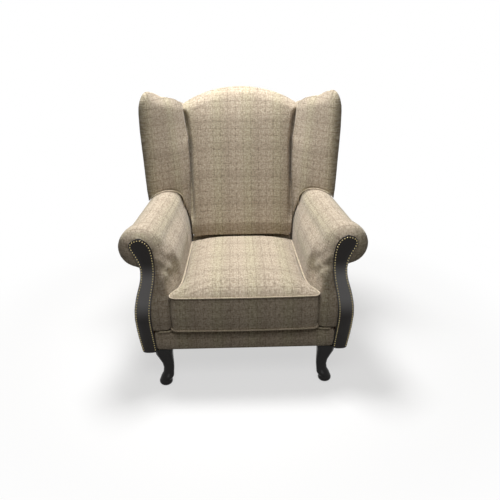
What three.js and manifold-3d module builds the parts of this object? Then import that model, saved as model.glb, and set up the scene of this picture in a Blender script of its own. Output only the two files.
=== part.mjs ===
// Wing chair with a concealed push-back recliner, millimetres, +Z up, front towards -Y.
// The origin is on the floor under the middle of the chair. Left and right are as seen from the front.
import * as THREE from 'three';
import { mergeVertices } from 'three/addons/utils/BufferGeometryUtils.js';
import ManifoldModule from 'manifold-3d';

const wasm = await ManifoldModule();
wasm.setup();

// Driving dimensions
const gap = 0.4;                 // between pieces that touch
const overrun = 40;              // how far a cutter passes a face

const leg = {
  height: 150, kneeHalf: 37, ankleHalf: 18.5, footHalf: 24, frontOut: 88, frontY: -326,
  toeOutX: -6, toeForwardY: -52, ankleInX: -18, rearOut: 110, rearY: 232, rearRakeY: 52,
  rearTopHalf: 23, rearFootHalf: 15, glideRadius: 11, glideHeight: 4,
};
const seat = {
  halfWidth: 226, railWidth: 32, railTopZ: 240, railHeight: 38, frontY: -330, rearY: 196,
  springCount: 3, wireThickness: 3.6, springPitch: 26, springSwingWidth: 24,
};
const arm = {
  seatClearance: 14, rollFrontOut: 152, rollRearOut: 106, frontY: -370, rearY: 258, bottomZ: 244, wingFrontY: 100,
  rollRadius: 70, rollFrontZ: 578, rollRearZ: 595, splayWidth: 10, flareWidth: 50, flareLength: 40,
  wall: 34, rollWall: 28, frontWall: 24, neckDrop: 3, coverThickness: 9,
};
const outerPanel = { thickness: 8, neckOut: 145, bellyOut: 177, rearOut: 150, rearDrawWidth: 6 };
const facing = { lift: 2, topZ: 630, thickness: 12, innerOut: 93, outerOut: 178 };
const wing = {
  frontOut: 146, frontLeanX: 17, frontY: 100, edgeRadius: 24, bottomZ: 650, leanTopZ: 1000,
  valleyZ: 1018, rearTopZ: 996, tipZ: 1097, creaseTopOut: 20, creaseFlareZ: 880, rearOut: 95,
  wall: 28, gapToArm: 5.2,
  innerBulge: 8, topWall: 42, panelThickness: 7, topRadius: 32,
  boardThickness: 18, boardClearance: 12, boardReachShare: 0.9, boardSetBack: 60, boardRearInset: 18.5,
  creaseInset: 2, reachDown: 200, panelDrop: 30, panelSetBack: 38, panelInset: 6, edgeFromDeg: 232, edgeToDeg: 382,
};
const back = {
  pivotY: 262, pivotZ: 330, creaseY: 178, creaseZ: 470, creaseTilt: 0.164,
  faceY: 131, faceZ: 446, faceTilt: 0.217, creaseGap: 2, cushionClearance: 1.5,
  domeZ: 1093, domeRadius: 520, topRadius: 56, padDepth: 68, sideDepth: 6,
  rearY: 284, rearTiltZ: 262, rearTilt: 0.14, boardThickness: 10, boardBottomZ: 262,
  boardDrop: 30, boardCornerDrop: 39, boardLowOut: 7, topWall: 34,
  springCount: 3, springFootUp: 132, springTopDrop: 97,
  returnThickness: 5, returnBottomZ: 384, returnDepth: 70, returnLowDepth: 42,
  tuckDepth: 11, tuckHeight: 56, lipDrop: 19, rearSetBack: 14, rimRise: 5,
};
const cushion = {
  bottomZ: 251, edgeZ: 402, crownHeight: 43, frontY: -400, rearY: 178, frontBow: 5,
  sideClearance: 5.5, frontOut: 60, earY: -352, cornerRadius: 22, rearCornerRadius: 12,
  pipingWidth: 4, drawInDepth: 5,
};
const band = {
  liftZ: 3, topZ: 238, frontY: -377, padDepth: 22, boardDepth: 18, cornerRadius: 16, crownDepth: 3,
  facingGap: 1.5, endGap: 10,
};
const frame = {
  post: 28, postDepth: 38, postOut: 119.5, topZ: 545, railHeight: 94, railThickness: 24, noseWidth: 12,
  armRailHeight: 24, armRailWidth: 46, stretcherHeight: 44, stretcherDepth: 34, midStretcherY: -96,
  rearStretcherY: 200, apronThickness: 12, stile: 34, stileDepth: 44, railDepth: 26, topClearance: 20,
  stileFootDrop: 41, footTopUp: 70, rearKneeUp: 88, frontKneeUp: 132,
};
const mech = {
  plate: 4, pivotY: -172, pivotZ: 199.5, rearLink: 108, frontLink: 199.3,
  linkHalf: 9, pinRadius: 5, pinFit: 0.4, rearLinkRestDeg: -85, frontLinkRestDeg: 43.07,
  crankShare: 0.517, crankDeg: -16.3, layerPitch: 4.5,
  channelWidth: 12, channelHeight: 30, channelWeb: 3, channelZ: 220, channelFrontY: -150,
  channelRearY: 214, channelFootWidth: 33, runnerHeight: 22, runnerFrontY: -60, runnerRearY: 190,
  plateHalf: 16, plateReach: 65, bracketDrop: 26, footDrop: 65, footWidth: 26,
};

// Powers of the curves: 1 is straight, more is flatter in the middle
const power = {
  creaseFlare: 1.6, wingTop: 0.65, wingOuter: 1.15, backAcross: 3.2, backSide: 8, crownAcross: 4, crownRear: 10, crownFront: 5,
  crownRise: 0.6, facingRows: 1.25, facingHead: 12, rearLegSweep: 1.3,
};

// Widths that follow the seat
const armInnerRearX = seat.halfWidth + arm.seatClearance;
const outward = (distance) => armInnerRearX + distance;
const postOuterX = outward(frame.postOut) + frame.post / 2;
const postInnerX = outward(frame.postOut) - frame.post / 2;
const railInnerX = postOuterX - frame.railThickness;
const frameBottomZ = leg.height + gap;
const stretcherZ = frameBottomZ + frame.stretcherHeight / 2;

// Small helpers
const rad = THREE.MathUtils.degToRad;
const lerp = THREE.MathUtils.lerp;
const clamp = THREE.MathUtils.clamp;
const point = (x, y, z) => new THREE.Vector3(x, y, z);
const share = (value, low, high) => clamp((value - low) / (high - low), 0, 1);
const pieces = [];

function material(color, roughness, metalness = 0) {
  return new THREE.MeshStandardMaterial({ color, roughness, metalness });
}
const finish = {
  tweed: material(0x8f7f6d, 0.95), tweedDark: material(0x7d6d5c, 0.95), leather: material(0x2b211f, 0.45),
  beech: material(0xc49a66, 0.6), plywood: material(0xb48a5a, 0.7), legWood: material(0x17110f, 0.25),
  steel: material(0x4b4d50, 0.45, 0.9), zinc: material(0xa9abad, 0.35, 1), glide: material(0x202020, 0.6),
};

// Turns positions and triangles into a geometry with its faces pointing out.
function closedGeometry(points, triangles) {
  let volume = 0;
  for (const [a, b, c] of triangles) volume += points[a].dot(points[b].clone().cross(points[c]));
  const faces = volume < 0 ? triangles.map(([a, b, c]) => [a, c, b]) : triangles;
  const geometry = new THREE.BufferGeometry();
  geometry.setAttribute('position', new THREE.Float32BufferAttribute(points.flatMap((p) => [p.x, p.y, p.z]), 3));
  geometry.setIndex(faces.flat());
  return geometry;
}

// Skins a row of closed sections that all have the same number of points, and closes both ends.
function loft(sections) {
  const count = sections[0].length;
  const points = sections.flat();
  const triangles = [];
  for (let row = 0; row < sections.length - 1; row += 1) {
    for (let i = 0; i < count; i += 1) {
      const a = row * count + i;
      const b = row * count + ((i + 1) % count);
      triangles.push([a, b, a + count], [b, b + count, a + count]);
    }
  }
  const last = (sections.length - 1) * count;
  for (const [a, b, c] of capOf(sections[0])) triangles.push([a, c, b]);
  for (const [a, b, c] of capOf(sections[sections.length - 1])) triangles.push([last + a, last + b, last + c]);
  return closedGeometry(points, triangles);
}

// Triangles over one flat section, wound the way the section runs. Every point of the rim is kept.
function capOf(section) {
  const normal = point(0, 0, 0);
  section.forEach((p, i) => normal.add(p.clone().cross(section[(i + 1) % section.length])));
  const up = Math.abs(normal.z) > Math.abs(normal.x) ? point(1, 0, 0) : point(0, 0, 1);
  const across = up.clone().cross(normal).normalize();
  const along = normal.clone().cross(across).normalize();
  const flat = section.map((p) => [p.dot(across), p.dot(along)]);
  const area = (i, j, k) => (flat[j][0] - flat[i][0]) * (flat[k][1] - flat[i][1])
    - (flat[k][0] - flat[i][0]) * (flat[j][1] - flat[i][1]);
  const reach = (i, j) => (flat[j][0] - flat[i][0]) ** 2 + (flat[j][1] - flat[i][1]) ** 2;
  const left = flat.map((_, i) => i);
  const triangles = [];
  while (left.length > 3) {
    let best = -1;
    let bestShape = 0;
    left.forEach((tip, at) => {
      const [before, after] = [left[(at + left.length - 1) % left.length], left[(at + 1) % left.length]];
      const size = area(before, tip, after);
      const shape = size / (reach(before, tip) + reach(tip, after) + reach(after, before));
      if (shape <= Math.max(bestShape, 1e-7)) return;
      const blocked = left.some((i) => i !== before && i !== tip && i !== after
        && area(before, tip, i) >= 0 && area(tip, after, i) >= 0 && area(after, before, i) >= 0);
      if (!blocked) [best, bestShape] = [at, shape];
    });
    if (best < 0) throw new Error('a section crosses itself');
    const [before, after] = [left[(best + left.length - 1) % left.length], left[(best + 1) % left.length]];
    triangles.push([before, left[best], after]);
    left.splice(best, 1);
  }
  return [...triangles, left];
}

function boxOf(x0, x1, y0, y1, z0, z1) {
  const geometry = new THREE.BoxGeometry(x1 - x0, y1 - y0, z1 - z0);
  geometry.translate((x0 + x1) / 2, (y0 + y1) / 2, (z0 + z1) / 2);
  return geometry;
}

// A flat plate whose outline is given in (y, z), standing from x0 to x1.
function plateOf(outline, x0, x1, holes = []) {
  const shape = new THREE.Shape(outline.map(([y, z]) => new THREE.Vector2(y, z)));
  for (const [y, z, radius] of holes) shape.holes.push(new THREE.Path().absarc(y, z, radius, 0, Math.PI * 2, true));
  const geometry = new THREE.ExtrudeGeometry(shape, { depth: x1 - x0, bevelEnabled: false, curveSegments: 10 });
  geometry.applyMatrix4(new THREE.Matrix4().makeBasis(point(0, 1, 0), point(0, 0, 1), point(1, 0, 0)));
  geometry.translate(x0, 0, 0);
  return geometry;
}

// A round bar along X.
function pinOf(y, z, x0, x1, radius, sides = 16) {
  const geometry = new THREE.CylinderGeometry(radius, radius, x1 - x0, sides);
  geometry.rotateZ(Math.PI / 2);
  geometry.translate((x0 + x1) / 2, y, z);
  return geometry;
}

// Points round a stadium-ended bar that follows a bent centre line in (y, z).
function barOutline(centre, half) {
  const outline = [];
  const directions = centre.slice(1).map((p, i) => Math.atan2(p[1] - centre[i][1], p[0] - centre[i][0]));
  const endSteps = 6;
  const side = (index, turn, heading) => [centre[index][0] + half * Math.cos(heading + turn),
    centre[index][1] + half * Math.sin(heading + turn)];
  const lastIndex = centre.length - 1;
  const halfTurn = (i) => Math.PI * i / endSteps;
  const atEnd = (i) => side(lastIndex, halfTurn(i) - Math.PI / 2, directions[lastIndex - 1]);
  for (let i = 0; i <= endSteps; i += 1) outline.push(atEnd(i));
  for (let i = lastIndex - 1; i > 0; i -= 1) outline.push(side(i, Math.PI / 2, (directions[i] + directions[i - 1]) / 2));
  for (let i = 0; i <= endSteps; i += 1) outline.push(side(0, halfTurn(i) + Math.PI / 2, directions[0]));
  for (let i = 1; i < lastIndex; i += 1) outline.push(side(i, -Math.PI / 2, (directions[i] + directions[i - 1]) / 2));
  return outline;
}

function solidOf(geometry) {
  const bare = new THREE.BufferGeometry();
  bare.setAttribute('position', geometry.getAttribute('position'));
  if (geometry.index) bare.setIndex(geometry.index);
  const merged = mergeVertices(bare, 1e-3);
  return new wasm.Manifold(new wasm.Mesh({ numProp: 3,
    vertProperties: new Float32Array(merged.getAttribute('position').array),
    triVerts: new Uint32Array(merged.index.array) }));
}

function geometryOf(solid) {
  const mesh = solid.getMesh();
  const geometry = new THREE.BufferGeometry();
  geometry.setAttribute('position', new THREE.BufferAttribute(new Float32Array(mesh.vertProperties), 3));
  geometry.setIndex(new THREE.BufferAttribute(new Uint32Array(mesh.triVerts), 1));
  return geometry;
}

const cut = (whole, ...cutters) => geometryOf(cutters.map(solidOf)
  .reduce((solid, cutter) => solid.subtract(cutter), solidOf(whole)));
const join = (...parts) => geometryOf(parts.map(solidOf).reduce((solid, part) => solid.add(part)));

function add(name, geometry, look) {
  const mesh = new THREE.Mesh(geometry, look);
  mesh.name = name;
  pieces.push(mesh);
}

function mirrored(geometry) {
  const plain = geometry.index ? geometry.toNonIndexed() : geometry.clone();
  const place = plain.getAttribute('position');
  const flipped = new Float32Array(place.array.length);
  const corner = 3;
  for (let face = 0; face < place.count; face += corner) {
    [0, 2, 1].forEach((from, to) => {
      flipped[(face + to) * corner] = -place.getX(face + from);
      flipped[(face + to) * corner + 1] = place.getY(face + from);
      flipped[(face + to) * corner + 2] = place.getZ(face + from);
    });
  }
  const other = new THREE.BufferGeometry();
  other.setAttribute('position', new THREE.BufferAttribute(flipped, corner));
  return mergeVertices(other, 1e-4);
}

// Adds a right-hand piece and its mirror image.
function addPair(name, geometry, look) {
  add(`${name}_right`, geometry, look);
  add(`${name}_left`, mirrored(geometry), look);
}

// Smooth curve through [along, value] pairs.
function through(pairs, at) {
  const curve = new THREE.SplineCurve(pairs.map(([a, b]) => new THREE.Vector2(a, b)));
  let low = 0;
  let high = 1;
  const bisections = 24;
  for (let i = 0; i < bisections; i += 1) {
    const middle = (low + high) / 2;
    if (curve.getPoint(middle).x < at) low = middle; else high = middle;
  }
  return curve.getPoint((low + high) / 2).y;
}

// The scroll arm: its section changes steadily from the facing to the wing.
const outerPanelShares = [[0, 0.30], [0.14, 0.82], [0.28, 0.98], [0.45, 1.0], [0.61, 0.85], [0.78, 0.42],
  [0.91, 0.05], [1, 0]];
const rearPanelShares = [[0, 0], [0.45, 0], [0.75, -0.35], [1, -1]];
const rollAt = (y) => share(y, arm.frontY, arm.wingFrontY);
const rollX = (y) => outward(lerp(arm.rollFrontOut, arm.rollRearOut, rollAt(y)));
const rollZ = (y) => lerp(arm.rollFrontZ, arm.rollRearZ, rollAt(y));
const neckZ = (y) => rollZ(y) - arm.rollRadius - arm.neckDrop;
const armInnerX = (y) => armInnerRearX + arm.splayWidth * (1 - share(y, arm.frontY, arm.rearY))
  + arm.flareWidth * Math.exp(-(y - arm.frontY) / arm.flareLength);

function panelOuterX(y, z) {
  const height = share(z, leg.height, neckZ(y));
  const front = outward(lerp(outerPanel.neckOut, outerPanel.bellyOut, through(outerPanelShares, height)));
  const rear = outward(outerPanel.rearOut) + outerPanel.rearDrawWidth * through(rearPanelShares, height);
  return lerp(front, rear, share(y, arm.frontY, arm.rearY));
}

const armInnerShares = [[0, 0], [0.2, -0.04], [0.4, -0.05], [0.55, 0.02], [0.72, 0.22], [0.86, 0.55], [0.95, 0.85]];
const armRollSteps = 11;
const rollEndDeg = -72;
function armSection(y) {
  const [centreX, centreZ, innerX] = [rollX(y), rollZ(y), armInnerX(y)];
  const rollInner = centreX - arm.rollRadius;
  const outline = armInnerShares.map(([up, out]) => point(lerp(innerX, rollInner, out), y, lerp(arm.bottomZ, centreZ, up)));
  for (let i = 0; i <= armRollSteps; i += 1) {
    const turn = rad(lerp(180, rollEndDeg, i / armRollSteps));
    outline.push(point(centreX + arm.rollRadius * Math.cos(turn), y, centreZ + arm.rollRadius * Math.sin(turn)));
  }
  const outerSteps = 6;
  for (let i = 0; i <= outerSteps; i += 1) {
    const z = lerp(neckZ(y), arm.bottomZ, i / outerSteps);
    outline.push(point(panelOuterX(y, z) - outerPanel.thickness - gap * 2, y, z));
  }
  return outline;
}

const armRailX = (y) => [-0.5, 0.5].map((side) => rollX(y) - arm.rollWall / 2 + side * frame.armRailWidth);

const armStations = [0, 0.03, 0.07, 0.12, 0.2, 0.32, 0.46, 0.6, 0.748, 1];
const armY = (along) => lerp(arm.frontY, arm.rearY, along);

function armPad() {
  const form = loft(armStations.map((along) => armSection(armY(along))));
  const hollowRows = [arm.frontY + arm.frontWall, arm.wingFrontY, arm.rearY + overrun].map((y) => {
    const [inner, top, under] = [armInnerX(y) + arm.wall, frame.topZ + frame.armRailHeight + gap, neckZ(y) + gap];
    const [railIn, railOut] = armRailX(y);
    const [postOut, outX] = [postOuterX + gap, rollX(y) + arm.rollRadius + overrun];
    const slopeX = Math.min(Math.max(railIn, inner), postInnerX) - gap * 2;
    return [[inner, arm.bottomZ - overrun], [inner, (arm.bottomZ + rollZ(y)) / 2], [slopeX, top], [railOut + gap, top],
      [railOut + gap, frame.topZ - gap], [postOut, frame.topZ - gap], [postOut, under],
      [outX, under], [outX, arm.bottomZ - overrun]].map(([x, z]) => point(x, y, z));
  });
  addPair('arm_pad', cut(form, loft(hollowRows)), finish.tweed);
}

function armOuterPanel() {
  const rows = armStations.map((along) => {
    const y = armY(along);
    const steps = 9;
    const outer = [];
    const inner = [];
    for (let i = 0; i <= steps; i += 1) {
      const z = lerp(leg.height, neckZ(y), i / steps);
      outer.push(point(panelOuterX(y, z), y, z));
      inner.unshift(point(panelOuterX(y, z) - outerPanel.thickness, y, z));
    }
    return [...outer, ...inner];
  });
  addPair('arm_outer_panel', loft(rows), finish.tweedDark);
}

function armRearCover() {
  const rearY = arm.rearY + gap;
  const outline = armSection(arm.rearY).filter((p) => p.z >= arm.bottomZ);
  const upper = outline.slice(0, armInnerShares.length + armRollSteps + 1);
  const outerSteps = 7;
  const lower = [];
  for (let i = 0; i <= outerSteps; i += 1) {
    const z = lerp(neckZ(arm.rearY), leg.height, i / outerSteps);
    lower.push(point(panelOuterX(arm.rearY, z), 0, z));
  }
  const rim = [...upper, ...lower];
  const sheet = (y) => rim.map((p) => point(p.x, y, p.z));
  addPair('arm_rear_cover', loft([sheet(rearY), sheet(rearY + arm.coverThickness)]), finish.tweedDark);
}

// Leather facing: an S-shaped padded board with a crowned front and a round head.
const facingOuterShares = [[0, 0.83], [0.12, 0.93], [0.28, 0.99], [0.4, 0.98], [0.52, 0.86], [0.63, 0.68],
  [0.71, 0.61], [0.78, 0.64], [0.85, 0.78], [0.92, 0.99], [0.955, 1.0], [0.985, 0.86], [1, 0.6]];
const facingInnerShares = [[0, 0.2], [0.12, 0.255], [0.28, 0.31], [0.4, 0.3], [0.52, 0.21], [0.63, 0.08],
  [0.74, 0.0], [0.85, 0.02], [0.92, 0.1], [0.955, 0.2], [0.985, 0.38], [1, 0.55]];
const facingCrownShares = [[0, 0], [0, 0.5], [0.1, 0.8], [0.3, 0.97], [0.5, 1], [0.7, 0.97], [0.9, 0.8], [1, 0.5], [1, 0]];
const facingX = (shares, up) => outward(lerp(facing.innerOut, facing.outerOut, through(shares, up)));
const facingBottomZ = leg.height + facing.lift;

function armFacing() {
  const rows = [];
  const steps = 26;
  const backY = arm.frontY - gap;
  for (let i = 0; i <= steps; i += 1) {
    const up = 1 - (1 - i / steps) ** power.facingRows;
    const z = lerp(facingBottomZ, facing.topZ, up);
    const [inner, outer] = [facingX(facingInnerShares, up), facingX(facingOuterShares, up)];
    const bulge = facing.thickness * (1 - up ** power.facingHead / 2);
    rows.push(facingCrownShares.map(([across, out]) => point(lerp(inner, outer, across), backY - bulge * out, z)));
  }
  addPair('arm_facing', loft(rows), finish.leather);
}

// Side frames of beech inside the arms, and the two stretchers that tie them together
function sideFrames() {
  const frontFace = arm.frontY + arm.frontWall + gap;
  const notchZ = arm.bottomZ - gap;
  const postTop = frame.topZ - gap;
  const postRear = frontFace + frame.postDepth;
  const nose = boxOf(postOuterX - frame.noseWidth, postOuterX, arm.frontY, postRear, frameBottomZ, notchZ);
  const post = boxOf(postInnerX, postOuterX, frontFace, postRear, frameBottomZ, postTop);
  addPair('front_post', join(post, nose), finish.beech);
  const rearPostFront = arm.rearY - gap - frame.postDepth;
  addPair('rear_post', boxOf(postInnerX, postOuterX, rearPostFront, arm.rearY - gap, frameBottomZ, postTop), finish.beech);
  addPair('side_rail', boxOf(railInnerX, postOuterX, postRear + gap, rearPostFront - gap, frameBottomZ,
    frameBottomZ + frame.railHeight), finish.beech);
  const [low0, high0] = [frame.topZ, frame.topZ + frame.armRailHeight];
  const rows = [frontFace, arm.wingFrontY, arm.rearY - gap].map((y) => {
    const [inX, outX] = armRailX(y);
    return [point(inX, y, low0), point(outX, y, low0), point(outX, y, high0), point(inX, y, high0)];
  });
  addPair('arm_rail', loft(rows), finish.beech);
  const stretcherEnd = railInnerX - gap;
  const [low, high] = [stretcherZ - frame.stretcherHeight / 2, stretcherZ + frame.stretcherHeight / 2];
  for (const [name, y] of [['mid_stretcher', frame.midStretcherY], ['rear_stretcher', frame.rearStretcherY]]) {
    add(name, boxOf(-stretcherEnd, stretcherEnd, y - frame.stretcherDepth / 2, y + frame.stretcherDepth / 2,
      low, high), finish.beech);
  }
  const apronEnd = postInnerX - gap;
  const apronY = arm.rearY - gap - frame.apronThickness;
  add('rear_apron', boxOf(-apronEnd, apronEnd, apronY, arm.rearY - gap, frameBottomZ, arm.bottomZ), finish.tweedDark);
}

// The wing: a padded wedge between the crease, the front edge and the outside back.
const creaseX = (z) => outward(lerp(-wing.creaseInset, wing.creaseTopOut,
  share(z, wing.creaseFlareZ, wing.valleyZ) ** power.creaseFlare));
const creaseY = (z) => back.creaseY + (z - back.creaseZ) * back.creaseTilt;
const backRearY = (z) => back.rearY + (z - back.rearTiltZ) * back.rearTilt;
const wingRearX = outward(wing.rearOut);
const wingFrontX = (z) => outward(wing.frontOut) + wing.frontLeanX * share(z, wing.bottomZ, wing.leanTopZ);

// The wing reaches down beside the arm's inner slope, and stays above it behind the arm.
const shoulderZ = arm.rollRearZ + arm.rollRadius + wing.gapToArm;
const wingBottomZ = (y) => lerp(shoulderZ - wing.reachDown, shoulderZ, share(y, arm.rearY - overrun, arm.rearY));

function wingPlan(z) {
  const [frontX, turns] = [wingFrontX(z), 7];
  const crease = new THREE.Vector2(creaseX(z), creaseY(z));
  const radius = wing.edgeRadius;
  const rearY = backRearY(z) - gap;
  const plan = [];
  const edgeAt = (degrees) => new THREE.Vector2(frontX, wing.frontY)
    .add(new THREE.Vector2(radius, 0).rotateAround(new THREE.Vector2(), rad(degrees)));
  const start = edgeAt(wing.edgeFromDeg);
  const innerSteps = 6;
  const alongNormal = new THREE.Vector2(-(start.y - crease.y), start.x - crease.x).normalize();
  for (let i = 0; i < innerSteps; i += 1) {
    const t = i / innerSteps;
    plan.push(crease.clone().lerp(start, t).addScaledVector(alongNormal, -wing.innerBulge * Math.sin(Math.PI * t)));
  }
  for (let i = 0; i <= turns; i += 1) plan.push(edgeAt(lerp(wing.edgeFromDeg, wing.edgeToDeg, i / turns)));
  const outerStart = plan[plan.length - 1];
  const outerSteps = 4;
  for (let i = 1; i <= outerSteps; i += 1) {
    const t = i / outerSteps;
    plan.push(new THREE.Vector2(lerp(outerStart.x, wingRearX, t ** power.wingOuter), lerp(outerStart.y, rearY, t)));
  }
  plan.push(new THREE.Vector2(crease.x + gap, rearY));
  return plan;
}

// The top edge falls from the tip to the valley, then to the rear, and rounds over at the outer side.
function wingTopZ(y, x) {
  const valleyY = creaseY(wing.valleyZ);
  const front = lerp(wing.valleyZ, wing.tipZ, share(y, valleyY, wing.frontY - wing.edgeRadius) ** power.wingTop);
  const behind = (wing.valleyZ - wing.rearTopZ) * share(y, valleyY, backRearY(wing.valleyZ));
  const outerX = outward(wing.frontOut) + wing.frontLeanX + wing.edgeRadius;
  const over = share(x, outerX - wing.topRadius, outerX);
  return front - behind - wing.topRadius * (1 - Math.sqrt(1 - over ** 2));
}

// Level shares with how far the outline has drawn in there, as a share of the top's rounding.
const wingLevelShares = [[0, 0], [0.2, 0], [0.4, 0], [0.6, 0], [0.78, 0], [0.9, 0.02], [0.94, 0.12], [0.97, 0.34],
  [0.99, 0.66], [1, 1]];

function wingForm() {
  return loft(wingLevelShares.map(([up, inset]) => {
    const plan = wingPlan(lerp(wing.bottomZ, wing.tipZ, up));
    const middle = plan.reduce((sum, p) => sum.add(p), new THREE.Vector2()).divideScalar(plan.length);
    return plan.map((p) => {
      const drawn = p.clone().add(middle.clone().sub(p).setLength(inset * wing.topRadius));
      const z = lerp(wingBottomZ(p.y), wingTopZ(p.y, p.x), up);
      return point(drawn.x, Math.min(drawn.y, backRearY(z) - gap * 2), z);
    });
  }));
}

function wingHollow() {
  const levels = [wing.bottomZ - arm.rollRadius * 2, wing.valleyZ - wing.topWall];
  return loft(levels.map((z) => {
    const planZ = Math.max(z, wing.bottomZ);
    const crease = new THREE.Vector2(creaseX(planZ), creaseY(planZ));
    const edge = new THREE.Vector2(wingFrontX(planZ), wing.frontY);
    const along = edge.clone().sub(crease).normalize();
    const inward = new THREE.Vector2(-along.y, along.x);
    const inner = crease.clone().addScaledVector(inward, wing.wall).addScaledVector(along, -overrun);
    const front = edge.clone().addScaledVector(inward, wing.wall).addScaledVector(along, -wing.edgeRadius / 2);
    const outer = new THREE.Vector2(edge.x + wing.edgeRadius + overrun, front.y + wing.edgeRadius);
    const rearY = backRearY(planZ) + overrun;
    return [inner, front, outer, new THREE.Vector2(outer.x, rearY), new THREE.Vector2(inner.x, rearY)]
      .map((p) => point(p.x, p.y, z));
  }));
}

function wingParts() {
  const form = wingForm();
  addPair('wing_pad', cut(form, wingHollow(), armClearance()), finish.tweed);
  const rows = [0, 0.25, 0.5, 0.75, 1].map((up) => {
    const bottom = shoulderZ - wing.panelDrop;
    const z = lerp(bottom, wing.valleyZ - wing.topWall - gap, up);
    const planZ = Math.max(z, wing.bottomZ);
    const [frontX, rearX] = [wingFrontX(planZ) + wing.edgeRadius - gap, wingRearX];
    const [frontY, rearY] = [wing.frontY + wing.panelSetBack, backRearY(z) - gap * 2];
    return [point(frontX - wing.panelInset, frontY, z), point(rearX, rearY, z),
      point(rearX - wing.panelThickness, rearY, z), point(frontX - wing.panelInset - wing.panelThickness, frontY, z)];
  });
  addPair('wing_outer_panel', cut(loft(rows), armClearance()), finish.tweedDark);
}

// The arm's rear section, grown by the clearance that the wing keeps over it, and all that is outside and below it.
function armClearance() {
  const grown = (y) => armSection(arm.rearY).map((p) => {
    const out = p.clone().sub(point(rollX(arm.rearY), arm.rearY, arm.rollRearZ)).setY(0).setLength(wing.gapToArm);
    return point(p.x + out.x, y, p.z + out.z);
  });
  const [frontY, rearY] = [arm.wingFrontY - overrun, arm.rearY + arm.coverThickness + wing.gapToArm];
  const outside = boxOf(rollX(arm.rearY), outward(outerPanel.bellyOut) + overrun, frontY, rearY, leg.height, arm.rollRearZ);
  return join(loft([grown(frontY), grown(rearY)]), outside);
}

// The cushion's half width follows the arms, and its crown falls to the piped edge.
const frontHalf = seat.halfWidth + cushion.frontOut;
const cushionHalf = (y) => Math.min(armInnerX(y) - cushion.sideClearance, frontHalf);
const cushionMiddleY = (cushion.rearY + cushion.frontY) / 2;

function cushionFullness(x, y) {
  const along = (y - cushionMiddleY) / (cushion.rearY - cushionMiddleY);
  return (1 - Math.min(1, Math.abs(x / cushionHalf(y))) ** power.crownAcross)
    * (1 - Math.abs(along) ** (along > 0 ? power.crownRear : power.crownFront));
}

const cushionTopZ = (x, y) => cushion.edgeZ + cushion.crownHeight * cushionFullness(x, y) ** power.crownRise;

// The inside back: one tight pad whose top rolls over the frame.
const domeTopZ = (x) => back.domeZ - (back.domeRadius - Math.sqrt(back.domeRadius ** 2 - x * x));
const padHalf = (z) => creaseX(z) - back.creaseGap;

function backPadSection(across) {
  const side = Math.abs(across) ** power.backAcross;
  const outer = Math.abs(across) ** power.backSide;
  const topZ = domeTopZ(across * padHalf(back.domeZ)) - outer * back.sideDepth;
  const faceY = (z) => lerp(back.faceY + (z - back.faceZ) * back.faceTilt, creaseY(z), side);
  const spring = topZ - back.topRadius;
  const bottomZ = cushionTopZ(across * padHalf(back.creaseZ), back.faceY) + back.cushionClearance;
  const rows = [];
  const faceSteps = 10;
  for (let i = 0; i <= faceSteps; i += 1) {
    const z = lerp(bottomZ, spring, i / faceSteps);
    const tuck = back.tuckDepth * (1 - share(z, bottomZ, bottomZ + back.tuckHeight)) ** 2;
    rows.push([faceY(z) + tuck, z]);
  }
  const roundSteps = 5;
  const rearAt = (z) => backRearY(z) - gap;
  const [rimZ, lipZ] = [topZ - back.lipDrop, topZ - back.topWall - back.lipDrop];
  for (let i = 1; i <= roundSteps; i += 1) {
    const turn = rad(90 * i / roundSteps);
    rows.push([faceY(spring) + back.topRadius * (1 - Math.cos(turn)), spring + back.topRadius * Math.sin(turn)]);
  }
  rows.push([rearAt(topZ) - back.rearSetBack, topZ - back.rimRise], [rearAt(rimZ), rimZ], [rearAt(lipZ), lipZ]);
  const lipY = Math.min(faceY(spring) + back.padDepth, rearAt(lipZ) - back.rearSetBack);
  const rearSteps = 14;
  for (let i = 0; i <= rearSteps; i += 1) {
    const down = i / rearSteps;
    rows.push([lerp(lipY, creaseY(bottomZ) + back.sideDepth, down), lerp(lipZ, bottomZ, down)]);
  }
  return rows.map(([y, z]) => point(across * padHalf(z), y, z));
}

function backPad() {
  const steps = 16;
  const rows = [];
  for (let i = 0; i <= steps; i += 1) {
    const across = Math.sin((i / steps - 0.5) * Math.PI);
    rows.push(backPadSection(lerp(across, 2 * (i / steps) - 1, 0.5)));
  }
  add('back_pad', loft(rows), finish.tweed);
}

const frameTopZ = wing.valleyZ - wing.topWall - frame.topClearance;

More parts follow.
